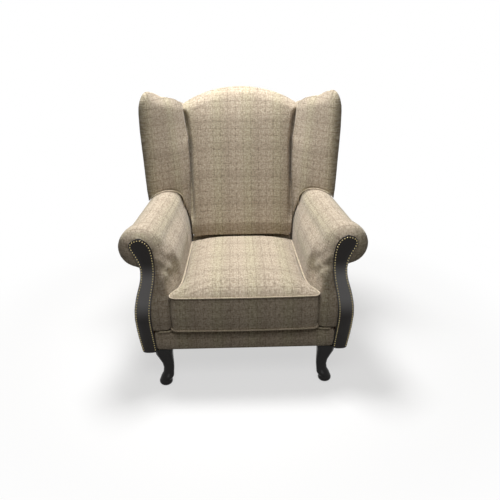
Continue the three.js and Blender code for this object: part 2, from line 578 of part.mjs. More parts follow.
function backFrame() {
  const half = frame.stile / 2;
  const stileX = seat.halfWidth - half;
  const stileRear = (z) => backRearY(z) - gap;
  const [low, high] = [back.pivotZ - frame.stileFootDrop, frameTopZ];
  const foot = frame.stileDepth / 2;
  const [rearKneeZ, frontKneeZ] = [low + frame.rearKneeUp, low + frame.frontKneeUp];
  const profile = [[back.pivotY - foot, low], [back.pivotY + foot, low], [stileRear(rearKneeZ), rearKneeZ],
    [stileRear(high), high], [stileRear(high) - frame.stileDepth, high],
    [stileRear(frontKneeZ) - frame.stileDepth, frontKneeZ], [back.pivotY - foot, low + frame.footTopUp]];
  const pinHole = [back.pivotY, back.pivotZ, mech.pinRadius + mech.pinFit];
  addPair('back_stile', plateOf(profile, stileX - half, stileX + half - gap, [pinHole]), finish.beech);
  const railEnd = stileX - half - gap;
  const bar = (z0, z1) => [[-railEnd, z0], [railEnd, z0], [railEnd, z1], [-railEnd, z1]];
  const tilted = (outline, depth, front) => loft([front, front + depth].map((out) => outline.map(([x, z]) => point(x,
    stileRear(z) - frame.stileDepth + out, z))));
  const lowerRail = bar(back.pivotZ + half, back.pivotZ + half + frame.stileDepth);
  add('back_lower_rail', tilted(lowerRail, frame.railDepth, gap), finish.beech);
  const topSteps = 12;
  const top = [];
  for (let i = 0; i <= topSteps; i += 1) {
    const x = lerp(railEnd, -railEnd, i / topSteps);
    top.push([x, domeTopZ(x) - back.topWall - back.lipDrop - gap - back.sideDepth]);
  }
  const topRail = [[-railEnd, high - frame.stileDepth], [railEnd, high - frame.stileDepth], ...top];
  add('back_top_rail', tilted(topRail, frame.railDepth, frame.stileDepth - frame.railDepth), finish.beech);
  for (let i = 0; i < back.springCount; i += 1) {
    const z = lerp(back.pivotZ + back.springFootUp, high - back.springTopDrop, i / (back.springCount - 1));
    const sway = seat.springSwingWidth / 2 * back.rearTilt;
    const y = stileRear(z) - frame.stileDepth - seat.wireThickness / 2 - sway - gap * 2;
    const reach = railEnd + half;
    const wire = sinuous(point(-reach, y, z), point(reach, y, z), point(0, 0, 1), point(0, -1, 0));
    add(`back_spring_${i + 1}`, wire, finish.zinc);
  }
}

// A zigzag spring wire from start to end that swings along swing, in the plane whose normal is given.
function sinuous(start, end, swing, normal) {
  const length = start.distanceTo(end);
  const turns = Math.round(length / seat.springPitch / 2) * 2;
  const perTurn = 4;
  const rows = [];
  const total = turns * perTurn;
  const place = (step) => {
    const along = step / total;
    const sway = Math.sin(Math.PI * step / perTurn) * seat.springSwingWidth / 2 * (along > 0 && along < 1 ? 1 : 0);
    return start.clone().lerp(end, along).addScaledVector(swing, sway);
  };
  const sides = 5;
  for (let step = 0; step <= total; step += 1) {
    const heading = place(Math.min(step + 0.5, total)).sub(place(Math.max(step - 0.5, 0))).normalize();
    const out = heading.clone().cross(normal).normalize();
    const up = out.clone().cross(heading).normalize();
    const row = [];
    for (let k = 0; k < sides; k += 1) {
      const turn = Math.PI * 2 * k / sides;
      row.push(place(step).addScaledVector(out, seat.wireThickness / 2 * Math.cos(turn))
        .addScaledVector(up, seat.wireThickness / 2 * Math.sin(turn)));
    }
    rows.push(row);
  }
  return loft(rows);
}

// Wing board: one flat plywood board from the stile to the wing's front edge.
function wingBoard() {
  const half = wing.boardThickness / 2;
  const [low, high] = [shoulderZ + wing.boardClearance, frameTopZ];
  const sheet = (z) => {
    const end = new THREE.Vector2(seat.halfWidth, backRearY(z) - wing.boardRearInset);
    const edge = new THREE.Vector2(wingFrontX(z), wing.frontY + wing.boardSetBack);
    const front = end.clone().lerp(edge, wing.boardReachShare);
    const along = end.clone().sub(front).normalize();
    const side = new THREE.Vector2(-along.y, along.x).multiplyScalar(half);
    const shift = side.x / along.x;
    return [point(front.x - side.x, front.y - side.y, z), point(front.x + side.x, front.y + side.y, z),
      point(end.x, end.y + side.y - shift * along.y, z), point(end.x, end.y - side.y + shift * along.y, z)];
  };
  addPair('wing_board', loft([sheet(low), sheet(high)]), finish.plywood);
}

function outsideBack() {
  const z0 = back.boardBottomZ;
  const half = wingRearX;
  const right = [];
  const steps = 8;
  const lowHalf = seat.halfWidth + back.boardLowOut;
  right.push([0, z0], [lowHalf, z0], [lowHalf, shoulderZ], [half, shoulderZ]);
  const cornerZ = wing.valleyZ - back.boardCornerDrop;
  const cornerSteps = 3;
  for (let i = 0; i <= cornerSteps; i += 1) {
    const turn = Math.PI / 2 * i / cornerSteps;
    const radius = back.boardDrop;
    right.push([half - radius + radius * Math.cos(turn), cornerZ - radius + radius * Math.sin(turn)]);
  }
  for (let i = 1; i <= steps; i += 1) {
    const x = lerp(outward(wing.creaseTopOut), 0, i / steps);
    right.push([x, domeTopZ(x) - back.boardDrop]);
  }
  const left = right.slice(1, -1).map(([x, z]) => [-x, z]).reverse();
  const outline = [...right, ...left];
  const board = loft([0, back.boardThickness].map((out) => outline.map(([x, z]) => point(x, backRearY(z) + out, z))));
  const returnX = seat.halfWidth + gap;
  const levels = [[back.returnBottomZ, back.returnLowDepth], [shoulderZ - gap, back.returnDepth]];
  const frontEdge = levels.map(([z, depth]) => [backRearY(z) - depth, z]);
  const rearEdge = levels.map(([z]) => [backRearY(z) + back.boardThickness / 2, z]).reverse();
  const side = (sign) => loft([0, back.returnThickness].map((out) => [...frontEdge, ...rearEdge]
    .map(([y, z]) => point(sign * (returnX + out), y, z))));
  add('outside_back', join(board, side(1), side(-1)), finish.tweedDark);
}

// Seat frame, springs, deck and the T-shaped box cushion
function seatParts() {
  const inner = seat.halfWidth - seat.railWidth;
  const bottom = seat.railTopZ - seat.railHeight;
  const sideRail = boxOf(inner, seat.halfWidth - gap, seat.frontY, seat.rearY, bottom, seat.railTopZ);
  addPair('seat_side_rail', sideRail, finish.beech);
  const end = inner - gap;
  add('seat_front_rail', boxOf(-end, end, seat.frontY, seat.frontY + seat.railWidth, bottom, seat.railTopZ), finish.beech);
  add('seat_rear_rail', boxOf(-end, end, seat.rearY - seat.railWidth, seat.rearY, bottom, seat.railTopZ), finish.beech);
  const wireZ = seat.railTopZ + seat.wireThickness / 2 + gap;
  for (let i = 0; i < seat.springCount; i += 1) {
    const x = lerp(-end, end, (i + 0.5) / seat.springCount);
    const [y0, y1] = [seat.frontY + seat.railWidth / 2, seat.rearY - seat.railWidth / 2];
    const wire = sinuous(point(x, y0, wireZ), point(x, y1, wireZ), point(1, 0, 0), point(0, 0, 1));
    add(`seat_spring_${i + 1}`, wire, finish.zinc);
  }
  const deckZ = wireZ + seat.wireThickness / 2 + gap;
  const deck = boxOf(-seat.halfWidth, seat.halfWidth, seat.frontY, seat.rearY, deckZ, cushion.bottomZ - gap);
  add('seat_deck', deck, finish.tweedDark);
}

// Half outline of the cushion from the middle of the rear edge to the middle of the front edge.
function cushionOutline() {
  const { rearY, frontY, earY, cornerRadius, rearCornerRadius } = cushion;
  const round = (x, y, radius, from, to, steps) => Array.from({ length: steps + 1 }, (_, i) => {
    const turn = rad(lerp(from, to, i / steps));
    return [x + radius * Math.cos(turn), y + radius * Math.sin(turn)];
  });
  const rearHalf = cushionHalf(rearY);
  const sideShares = [0.12, 0.3, 0.5, 0.68, 0.8, 0.88, 0.94, 1];
  const side = sideShares.map((along) => lerp(rearY, earY, along)).map((y) => [cushionHalf(y), y]);
  const corner = round(frontHalf - cornerRadius, frontY + cornerRadius, cornerRadius, 12, -90, 4);
  const rearCorner = round(rearHalf - rearCornerRadius, rearY - rearCornerRadius, rearCornerRadius, 90, 8, 3);
  const frontEdge = [0.7, 0.4].map((out) => [frontHalf * out, frontY]);
  const rearEdge = [0.35, 0.7].map((out) => [rearHalf * out, rearY]);
  return [[0, rearY], ...rearEdge, ...rearCorner, ...side, ...corner, ...frontEdge, [0, frontY]];
}

function seatCushion() {
  const half = cushionOutline();
  const rim = [...half, ...half.slice(1, -1).map(([x, y]) => [-x, y]).reverse()];
  const middleY = cushionMiddleY;
  const ring = (z, scale, grow, bow = 0) => rim.map(([x, y]) => {
    const reach = Math.hypot(x, y - middleY);
    const swell = scale + grow / reach;
    const frontShare = share(y, middleY, cushion.frontY);
    return point(x * swell, middleY + (y - middleY) * swell - bow * frontShare * (1 - (x / frontHalf) ** 2), z);
  });
  const { bottomZ, edgeZ, frontBow } = cushion;
  const [piping, drawIn, crown] = [cushion.pipingWidth, cushion.drawInDepth, cushion.crownHeight];
  const boxing = [[0.25, -drawIn * 0.4], [0.5, 0], [0.75, -drawIn * 0.4]];
  const rows = [ring(bottomZ, 1, -piping * 2, frontBow), ring(bottomZ + piping, 1, 0, frontBow),
    ring(bottomZ + piping * 2, 1, -piping, frontBow),
    ...boxing.map(([up, grow]) => ring(lerp(bottomZ, edgeZ, up), 1, grow, frontBow)),
    ring(edgeZ - piping * 2, 1, -piping, frontBow), ring(edgeZ - piping, 1, 0, frontBow),
    ring(edgeZ, 1, -piping * 2, frontBow)];
  for (const scale of [0.93, 0.84, 0.7, 0.5, 0.3, 0.12]) {
    const top = ring(edgeZ, scale, 0, frontBow * scale);
    const rise = (p) => Math.max(cushionFullness(p.x, p.y), 1 - scale) ** power.crownRise;
    rows.push(top.map((p) => p.setZ(edgeZ + crown * rise(p))));
  }
  add('seat_cushion', loft(rows), finish.tweed);
}

// The front band: a padded board from facing to facing, which swings out as the footrest.
function footrestBand() {
  const { topZ, frontY, padDepth, boardDepth } = band;
  const [round, crown, bottomZ] = [band.cornerRadius, band.crownDepth, leg.height + band.liftZ];
  const padRear = frontY + padDepth;
  const boardHalf = postInnerX - band.endGap;
  const boardFront = padRear + gap;
  const board = boxOf(-boardHalf, boardHalf, boardFront, boardFront + boardDepth, bottomZ + crown, topZ - crown);
  add('footrest_board', board, finish.plywood);
  const halfAt = (z) => facingX(facingInnerShares, share(z, facingBottomZ, facing.topZ)) - band.facingGap;
  const arc = (y, z, from, to) => Array.from({ length: 5 }, (_, i) => {
    const turn = rad(lerp(from, to, i / 4));
    return [y + round * Math.cos(turn), z + round * Math.sin(turn)];
  });
  const endX = (z) => Math.min(halfAt(z), postOuterX - frame.noseWidth - band.facingGap);
  const section = (across, draw) => {
    const rim = [[padRear, topZ - draw], ...arc(frontY + round + draw, topZ - round - draw, 90, 180),
      [frontY - crown + draw, (topZ + bottomZ) / 2], ...arc(frontY + round + draw, bottomZ + round + draw, 180, 270),
      [padRear, bottomZ + draw]];
    return rim.map(([y, z]) => point(across * endX(z), y, z));
  };
  const ends = [[1, crown], [0.985, 0.5], [0.9, 0]];
  const rows = [...ends.map(([t, draw]) => section(-t, draw)), section(0, 0),
    ...[...ends].reverse().map(([t, draw]) => section(t, draw))];
  add('footrest_pad', loft(rows), finish.tweed);
}

// Cabriole front leg: knee, slim ankle and a pad foot, swept forward and out.
function legs() {
  const topZ = leg.height;
  const { kneeHalf, ankleHalf, footHalf } = leg;
  const [frontX, rearX] = [outward(leg.frontOut), outward(leg.rearOut)];
  const [toeX, toeY] = [frontX + leg.toeOutX, leg.frontY + leg.toeForwardY];
  const kneeShares = [[1, 1, 0, 0], [0.92, 0.98, 0, 0.02], [0.8, 0.84, 0.06, 0.1], [0.68, 0.56, 0.4, 0.25],
    [0.56, 0.2, 0.8, 0.42], [0.44, 0, 1, 0.58], [0.33, 0.02, 0.95, 0.76], [0.24, 0.25, 0.7, 0.92]];
  const [kneeSquareShare, rearSquareShare, sides] = [0.8, 0.9, 16];
  const section = (x, y, z, half, square) => Array.from({ length: sides }, (_, i) => {
    const turn = Math.PI * 2 * (i + 0.5) / sides;
    const [c, s] = [Math.cos(turn), Math.sin(turn)];
    const reach = half * lerp(1, 1 / Math.max(Math.abs(c), Math.abs(s)), square);
    return point(x + reach * c, y + reach * s, z);
  });
  const rows = kneeShares.map(([up, fat, inward, forward]) => section(frontX + leg.ankleInX * inward,
    leg.frontY + leg.toeForwardY * forward, topZ * up, lerp(ankleHalf, kneeHalf, fat), fat ** 2 * kneeSquareShare));
  const footShares = [[0.17, 0.86], [0.13, 0.98], [0.095, 1], [0.06, 0.92], [0.035, 0.7]];
  for (const [up, fat] of footShares) rows.push(section(toeX, toeY, topZ * up, footHalf * fat, 0));
  rows.push(section(toeX, toeY, leg.glideHeight, leg.glideRadius, 0));
  const glideAt = (x, y) => {
    const glide = new THREE.CylinderGeometry(leg.glideRadius, leg.glideRadius, leg.glideHeight * 2, sides);
    glide.rotateX(Math.PI / 2);
    glide.translate(x, y, leg.glideHeight);
    return glide;
  };
  addPair('front_leg', join(loft(rows), glideAt(toeX, toeY)), finish.legWood);
  const rearRows = [0, 0.08, 0.5, 1].map((up) => section(rearX, leg.rearY + leg.rearRakeY * (1 - up) ** power.rearLegSweep,
    lerp(leg.glideHeight, topZ, up), lerp(leg.rearFootHalf, leg.rearTopHalf, up), rearSquareShare));
  addPair('rear_leg', join(loft(rearRows), glideAt(rearX, leg.rearY + leg.rearRakeY)), finish.legWood);
}

// Push-back linkage in steel plate: seat plate, two folding links a side, brackets and channels
const layerX = (index) => seat.halfWidth + index * mech.layerPitch;
const restPoint = ([y, z], length, degrees) => [y - length * Math.cos(rad(degrees)), z + length * Math.sin(rad(degrees))];
const linkRoot = [mech.pivotY, mech.pivotZ];
const linkElbow = restPoint(linkRoot, mech.rearLink, mech.rearLinkRestDeg);
const linkCrank = restPoint(linkElbow, mech.frontLink * mech.crankShare, mech.frontLinkRestDeg + mech.crankDeg);
const linkTip = restPoint(linkElbow, mech.frontLink, mech.frontLinkRestDeg);
const plateAt = (index) => [layerX(index) + gap / 2, layerX(index) + mech.plate + gap / 2];

function mechanism() {
  const { linkHalf, pinRadius, pinFit } = mech;
  const hole = ([y, z]) => [y, z, pinRadius + pinFit];
  const seatBottom = seat.railTopZ - seat.railHeight;
  const [plate0, plate1] = plateAt(0);
  const pivotHalf = mech.plateHalf;
  const seatPlate = plateOf([[mech.pivotY - pivotHalf, mech.pivotZ - pivotHalf],
    [mech.pivotY + pivotHalf * 2, mech.pivotZ - pivotHalf], [mech.pivotY + mech.plateReach, seatBottom], [seat.rearY, seatBottom], [back.pivotY + pivotHalf, back.pivotZ - pivotHalf],
    [back.pivotY + pivotHalf, back.pivotZ + pivotHalf], [back.pivotY - pivotHalf, back.pivotZ + pivotHalf],
    [seat.rearY - pivotHalf / 2, seat.railTopZ], [seat.frontY, seat.railTopZ], [seat.frontY, seat.railTopZ - pivotHalf],
    [mech.pivotY - pivotHalf, seat.railTopZ - pivotHalf]], plate0, plate1);
  const rootPin = pinOf(...linkRoot, plate1 - mech.plate / 2, plateAt(1)[1] + pinFit, pinRadius);
  const backPin = pinOf(back.pivotY, back.pivotZ, seat.halfWidth - frame.stile, plate0 + mech.plate / 2, pinRadius);
  const runner = boxOf(plate1 - mech.plate / 2, layerX(4) + mech.channelWidth - mech.channelWeb - gap,
    mech.runnerFrontY, mech.runnerRearY, mech.channelZ - mech.runnerHeight / 2, mech.channelZ + mech.runnerHeight / 2);
  addPair('seat_plate', join(seatPlate, rootPin, backPin, runner), finish.steel);
  const [rear0, rear1] = plateAt(1);
  const rearPlate = plateOf(barOutline([linkRoot, linkElbow], linkHalf), rear0, rear1, [hole(linkRoot)]);
  const elbowPin = pinOf(...linkElbow, rear1 - mech.plate / 2, plateAt(2)[1] + pinFit, pinRadius);
  addPair('rear_link', join(rearPlate, elbowPin), finish.steel);
  const [front0, front1] = plateAt(2);
  const frontOutline = barOutline([linkElbow, linkCrank, linkTip], linkHalf);
  const frontPlate = plateOf(frontOutline, front0, front1, [hole(linkElbow), hole(linkTip)]);
  addPair('front_link', frontPlate, finish.steel);
  const boardRear = band.frontY + band.padDepth + gap * 2 + band.boardDepth;
  const [tab0, tab1] = plateAt(3);
  const [tabFront, tabRear, tabTop] = [boardRear, linkTip[0] + linkHalf, linkTip[1] + linkHalf];
  const tab = plateOf([[tabFront, linkTip[1] - mech.bracketDrop], [tabFront + mech.plate, linkTip[1] - mech.bracketDrop],
    [tabRear, linkTip[1] - linkHalf], [tabRear, tabTop], [tabFront, tabTop]], tab0, tab1);
  const tipPin = pinOf(...linkTip, front0 - pinFit, tab0 + mech.plate / 2, pinRadius);
  const foot = boxOf(tab0, tab1 + mech.footWidth, tabFront, tabFront + mech.plate, linkTip[1] - mech.footDrop, tabTop);
  addPair('footrest_bracket', join(tab, tipPin, foot), finish.steel);
  const channelX = layerX(4);
  const [z0, z1] = [mech.channelZ - mech.channelHeight / 2, mech.channelZ + mech.channelHeight / 2];
  const web = mech.channelWeb;
  const channelOuter = channelX + mech.channelWidth;
  const strip = (x0, low, high) => boxOf(x0, channelOuter, mech.channelFrontY, mech.channelRearY, low, high);
  const channel = join(strip(channelOuter - web, z0, z1), strip(channelX, z0, z0 + web), strip(channelX, z1 - web, z1));
  const stretcherTop = stretcherZ + frame.stretcherHeight / 2 + gap;
  const feet = [frame.midStretcherY, frame.rearStretcherY].map((y) => boxOf(channelX + web, channelX + mech.channelFootWidth,
    y - frame.stretcherDepth / 2, Math.min(y + frame.stretcherDepth / 2, mech.channelRearY), stretcherTop, z0 + web));
  addPair('slide_channel', join(channel, ...feet), finish.zinc);
}

armPad();
armOuterPanel();
armRearCover();
armFacing();
sideFrames();
wingParts();
wingBoard();
backPad();
backFrame();
outsideBack();
seatParts();
seatCushion();
footrestBand();
legs();
mechanism();

const chair = new THREE.Group();
chair.add(...pieces);

export default chair;
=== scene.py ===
# Wing chair with a concealed push-back recliner, dressed for render. Metres, front towards -Y.
import math

import bpy
import bmesh
import numpy as np
from mathutils import Vector, Matrix


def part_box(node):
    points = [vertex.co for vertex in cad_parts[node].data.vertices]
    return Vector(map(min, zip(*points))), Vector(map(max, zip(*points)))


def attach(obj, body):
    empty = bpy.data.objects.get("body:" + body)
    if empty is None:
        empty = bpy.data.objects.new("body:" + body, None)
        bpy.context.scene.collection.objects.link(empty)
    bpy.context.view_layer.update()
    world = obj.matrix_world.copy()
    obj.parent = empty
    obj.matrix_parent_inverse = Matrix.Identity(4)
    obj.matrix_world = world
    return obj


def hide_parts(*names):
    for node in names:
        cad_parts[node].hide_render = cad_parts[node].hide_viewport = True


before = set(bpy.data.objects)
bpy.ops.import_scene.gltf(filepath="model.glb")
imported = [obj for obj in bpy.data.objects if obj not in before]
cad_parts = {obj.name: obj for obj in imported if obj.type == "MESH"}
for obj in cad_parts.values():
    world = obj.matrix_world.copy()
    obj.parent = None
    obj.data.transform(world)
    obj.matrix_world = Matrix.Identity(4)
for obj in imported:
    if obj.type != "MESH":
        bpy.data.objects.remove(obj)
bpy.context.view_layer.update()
scene = bpy.context.scene
mm = 0.001
print("frame loaded")


camera = {
    "place": (-30, -2114, 1310),   # mm
    "yawDeg": 1.70, "pitchDeg": 22.46, "rollDeg": -0.41,
    "focalPx": 514.4, "centreDropPx": -2.8, "framePx": 500,
}
lighting = {
    "ceiling": {"place": (-0.14, 0.17, 2.45), "aim": (0.0, -0.05, 0.5), "size": 0.6, "power": 65},
    "front": {"place": (0.00, -1.60, 2.20), "aim": (0.0, 0.0, 0.7), "size": 1.2, "power": 13},
    "worldTone": (0.096, 0.086, 0.072), "floorGrey": 0.15, "floorWhite": 0.90,
    "whiteNear": 0.6, "whiteFromM": 0.7, "whiteToM": 1.5, "floorReachM": 8.0,
}


def makeCamera(c):
    data = bpy.data.cameras.new("photoCamera")
    data.sensor_width = 36
    data.lens = c["focalPx"] / c["framePx"] * data.sensor_width
    data.shift_y = c["centreDropPx"] / c["framePx"]
    data.clip_end = 50
    obj = bpy.data.objects.new("photoCamera", data)
    scene.collection.objects.link(obj)
    yaw, pitch, roll = (math.radians(c[k]) for k in ("yawDeg", "pitchDeg", "rollDeg"))
    forward = Vector((math.sin(yaw) * math.cos(pitch), math.cos(yaw) * math.cos(pitch), -math.sin(pitch)))
    level = Vector((math.cos(yaw), -math.sin(yaw), 0))
    rise = level.cross(forward)
    right = math.cos(roll) * level + math.sin(roll) * rise
    up = -math.sin(roll) * level + math.cos(roll) * rise
    turn = Matrix((right, up, -forward)).transposed()
    obj.matrix_world = Matrix.Translation(Vector(c["place"]) * mm) @ turn.to_4x4()
    scene.camera = obj


def makeLamp(name, lamp):
    data = bpy.data.lights.new(name, "AREA")
    data.size = lamp["size"]
    data.energy = lamp["power"]
    obj = bpy.data.objects.new(name, data)
    scene.collection.objects.link(obj)
    place = Vector(lamp["place"])
    obj.location = place
    obj.rotation_euler = (Vector(lamp["aim"]) - place).to_track_quat("-Z", "Y").to_euler()


def linearColor(code):
    parts = [int(code[i:i + 2], 16) / 255 for i in (0, 2, 4)]
    return tuple(p / 12.92 if p <= 0.04045 else ((p + 0.055) / 1.055) ** 2.4 for p in parts) + (1.0,)


# Adds one node with its settings and inputs. An input is named, or numbered as i0, i1 and so on, and is fed by a
# link, written (node, output), or by a plain value.
def addNode(tree, kind, settings=None, **inputs):
    node = tree.nodes.new(kind)
    for key, value in (settings or {}).items():
        setattr(node, key, value)
    for key, value in inputs.items():
        numbered = key[0] == "i" and key[1:].isdigit()
        socket = node.inputs[int(key[1:]) if numbered else key.replace("_", " ")]
        if isinstance(value, tuple) and len(value) == 2 and hasattr(value[0], "outputs"):
            tree.links.new(value[0].outputs[value[1]], socket)
        else:
            socket.default_value = value
    return node


def newMaterial(name):
    material = bpy.data.materials.new(name)
    material.use_nodes = True
    tree = material.node_tree
    tree.nodes.clear()
    return material, tree


def finishMaterial(material, tree, shader, hexColor):
    addNode(tree, "ShaderNodeOutputMaterial", Surface=(shader, 0))
    material.diffuse_color = linearColor(hexColor)
    return material


def calc(tree, operation, a, b=None, c=None):
    inputs = {"i0": a}
    if b is not None:
        inputs["i1"] = b
    if c is not None:
        inputs["i2"] = c
    return (addNode(tree, "ShaderNodeMath", {"operation": operation}, **inputs), 0)


def blendColor(tree, share, a, b, mode="MIX"):
    node = addNode(tree, "ShaderNodeMix", {"data_type": "RGBA", "blend_type": mode}, i0=share, i6=a, i7=b)
    return (node, 2)


# Wool and cotton tweed, woven in a plain weave with a quiet window check: rough, fuzzy and never glossy.
tweed = {
    "light": "d0c5b0", "middle": "a3957f", "dark": "6f6252", "line": "685a4a", "warm": "a08f80", "cool": "9c9579",
    "fleckMm": 6.5,         # clumps of pale and dark yarn, drawn coarser than the 1 mm yarn so that they show
    "threadMm": 2.6,        # yarn spacing, drawn coarse for the same reason
    "checkMm": 34.0, "lineMm": 4.6, "bandMm": 136.0, "brokenMm": 14.0, "wanderMm": 2.5, "wanderEveryMm": 18.0,
    "lineShare": 0.50, "strongShare": 0.25, "bandShare": 0.18, "tintShare": 0.45, "fleckShare": 0.38,
    "roughness": 0.95, "sheen": 0.15, "sheenRoughness": 0.6, "specular": 0.2, "reliefMm": 0.6,
}


def tweedMaterial(name, t):
    material, tree = newMaterial(name)
    cloth = addNode(tree, "ShaderNodeAttribute", {"attribute_name": "weave"})
    apart = addNode(tree, "ShaderNodeSeparateXYZ", i0=(cloth, "Vector"))
    u, v = (apart, 0), (apart, 1)

    def noise(sizeMm, stretch=None, detail=2.0, low=0.35, high=0.65, most=1.0):
        where = (cloth, "Vector")
        if stretch:
            where = (addNode(tree, "ShaderNodeMapping", {}, Vector=where, Scale=stretch), 0)
        speck = addNode(tree, "ShaderNodeTexNoise", {}, Vector=where, Scale=1 / (sizeMm * mm), Detail=detail)
        return (addNode(tree, "ShaderNodeMapRange", {}, Value=(speck, 0), i1=low, i2=high, i3=0.0, i4=most), 0)

    wander = noise(t["wanderEveryMm"])
    broken = noise(t["brokenMm"], low=0.34, high=0.60)

    # How near a point is to a line of the check: 1 on the line, 0 once it is the given width away
    def lines(along, pitch, width, offset, most):
        shifted = calc(tree, "MULTIPLY_ADD", wander, t["wanderMm"] * mm, along)
        turns = calc(tree, "MULTIPLY_ADD", shifted, 1 / (pitch * mm), offset)
        near = calc(tree, "PINGPONG", turns, 0.5)
        return (addNode(tree, "ShaderNodeMapRange", {"interpolation_type": "SMOOTHSTEP"}, Value=near,
                        i1=0.5 - width / pitch * 0.75, i2=0.5, i3=0.0, i4=most), 0)

    fleck = noise(t["fleckMm"], detail=3.0, low=0.36, high=0.64)
    base = blendColor(tree, fleck, linearColor(t["middle"]), linearColor(t["light"]))
    stripe = lines(u, t["bandMm"], t["bandMm"] * 0.5, 0.25, 1.0)
    tint = blendColor(tree, stripe, linearColor(t["warm"]), linearColor(t["cool"]))
    base = blendColor(tree, t["tintShare"], base, tint)
    for axis, offset in ((u, 0.0), (v, 0.4)):
        band = lines(axis, t["bandMm"], t["bandMm"] * 0.4, offset, t["bandShare"])
        base = blendColor(tree, band, base, linearColor(t["dark"]))
    for stretch in ((0.3, 1.0, 1.0), (1.0, 0.3, 1.0)):
        for shade, low in (("dark", 0.50), ("light", 0.54)):
            sizeMm = t["fleckMm"] * (0.8 if shade == "dark" else 0.7)
            streak = noise(sizeMm, stretch, 1.0, low, low + 0.16, t["fleckShare"])
            base = blendColor(tree, streak, base, linearColor(t[shade]))
    for axis, offset in ((u, 0.1), (v, 0.3)):
        for pitch, share in ((t["checkMm"], t["lineShare"]), (t["checkMm"] * 2, t["strongShare"])):
            line = calc(tree, "MULTIPLY", lines(axis, pitch, t["lineMm"], offset, share), broken)
            base = blendColor(tree, line, base, linearColor(t["line"]))
    threads = [calc(tree, "SINE", calc(tree, "MULTIPLY", axis, 2 * math.pi / (t["threadMm"] * mm))) for axis in (u, v)]
    weave = calc(tree, "MULTIPLY_ADD", calc(tree, "MULTIPLY", threads[0], threads[1]), 0.5, fleck)
    bump = addNode(tree, "ShaderNodeBump", {}, Strength=0.35, Distance=t["reliefMm"] * mm, Height=weave)
    shader = addNode(tree, "ShaderNodeBsdfPrincipled", {}, Base_Color=base, Normal=(bump, 0), Roughness=t["roughness"])
    shader.inputs["Sheen Weight"].default_value = t["sheen"]
    shader.inputs["Sheen Roughness"].default_value = t["sheenRoughness"]
    shader.inputs["Specular IOR Level"].default_value = t["specular"]
    return finishMaterial(material, tree, shader, t["middle"])


# Aniline-finished cowhide, dyed near black-brown: fine pebbled grain with a soft satin highlight, painted paler on the
# belly of the facing.
leather = {
    "hex": "15110f", "worn": "24201e", "cloudMm": 40, "grainMm": 2.2, "roughness": 0.36, "specular": 0.20,
    # The belly of the facing carries a painted highlight, paler and shinier: it starts, is full, falls and ends at
    # these heights
    "paintedHighlight": "3a3736", "highlightSpecular": 0.8, "highlightZM": (0.30, 0.39, 0.46, 0.54),
}


def leatherMaterial(l):
    material, tree = newMaterial("brownBlackLeather")
    where = addNode(tree, "ShaderNodeTexCoord")
    grain = addNode(tree, "ShaderNodeTexVoronoi", {"feature": "DISTANCE_TO_EDGE"}, Vector=(where, "Object"),
                    Scale=1 / (l["grainMm"] * mm))
    cloudy = addNode(tree, "ShaderNodeTexNoise", {}, Vector=(where, "Object"), Scale=1 / (l["cloudMm"] * mm),
                     Detail=4.0)
    color = blendColor(tree, (cloudy, 0), linearColor(l["hex"]), linearColor(l["worn"]))
    height = (addNode(tree, "ShaderNodeSeparateXYZ", i0=(where, "Object")), 2)
    # Painted highlight: a band across the belly of the facing is mixed towards a paler colour and a higher specular
    # level
    start, full, fall, end = l["highlightZM"]
    smoothly = {"interpolation_type": "SMOOTHSTEP"}
    above = addNode(tree, "ShaderNodeMapRange", smoothly, Value=height, i1=start, i2=full, i3=0.0, i4=1.0)
    below = addNode(tree, "ShaderNodeMapRange", smoothly, Value=height, i1=fall, i2=end, i3=1.0, i4=0.0)
    paintedHighlight = calc(tree, "MULTIPLY", (above, 0), (below, 0))
    color = blendColor(tree, paintedHighlight, color, linearColor(l["paintedHighlight"]))
    shine = addNode(tree, "ShaderNodeMapRange", {}, Value=paintedHighlight, i1=0.0, i2=1.0, i3=l["specular"],
                    i4=l["highlightSpecular"])
    rough = (addNode(tree, "ShaderNodeMapRange", {}, Value=(cloudy, 0), i1=0.3, i2=0.7, i3=l["roughness"] - 0.05,
                     i4=l["roughness"] + 0.08), 0)
    bump = addNode(tree, "ShaderNodeBump", {}, Strength=0.18, Distance=0.3 * mm, Height=(grain, 0))
    shader = addNode(tree, "ShaderNodeBsdfPrincipled", {}, Base_Color=color, Normal=(bump, 0), Roughness=rough,
                     Specular_IOR_Level=(shine, 0))
    return finishMaterial(material, tree, shader, l["hex"])


# Timber: sawn or stained wood with drawn-out grain, its colour between two hexes.
woods = {
    "sandedBeech": {"pale": "d2ab7c", "deep": "b0834f", "grainMm": 6, "roughness": 0.62, "specular": 0.5},
    "rawPlywood": {"pale": "c9a271", "deep": "94693f", "grainMm": 3, "roughness": 0.75, "specular": 0.5},
    "ebonisedLegWood": {"pale": "120d0b", "deep": "080605", "grainMm": 5, "roughness": 0.24, "specular": 0.20},
}


def woodMaterial(name, w):
    material, tree = newMaterial(name)
    where = addNode(tree, "ShaderNodeTexCoord")
    drawn = addNode(tree, "ShaderNodeMapping", {}, Vector=(where, "Object"), Scale=(1.0, 1.0, 0.08))
    grain = addNode(tree, "ShaderNodeTexNoise", {}, Vector=(drawn, 0), Scale=1 / (w["grainMm"] * mm), Detail=5.0,
                    Roughness=0.6)
    share = (addNode(tree, "ShaderNodeMapRange", {}, Value=(grain, 0), i1=0.35, i2=0.65, i3=0.0, i4=1.0), 0)
    color = blendColor(tree, share, linearColor(w["deep"]), linearColor(w["pale"]))
    bump = addNode(tree, "ShaderNodeBump", {}, Strength=0.12, Distance=0.3 * mm, Height=(grain, 0))
    shader = addNode(tree, "ShaderNodeBsdfPrincipled", {}, Base_Color=color, Normal=(bump, 0), Roughness=w["roughness"])
    shader.inputs["Specular IOR Level"].default_value = w["specular"]
    return finishMaterial(material, tree, shader, w["deep"])


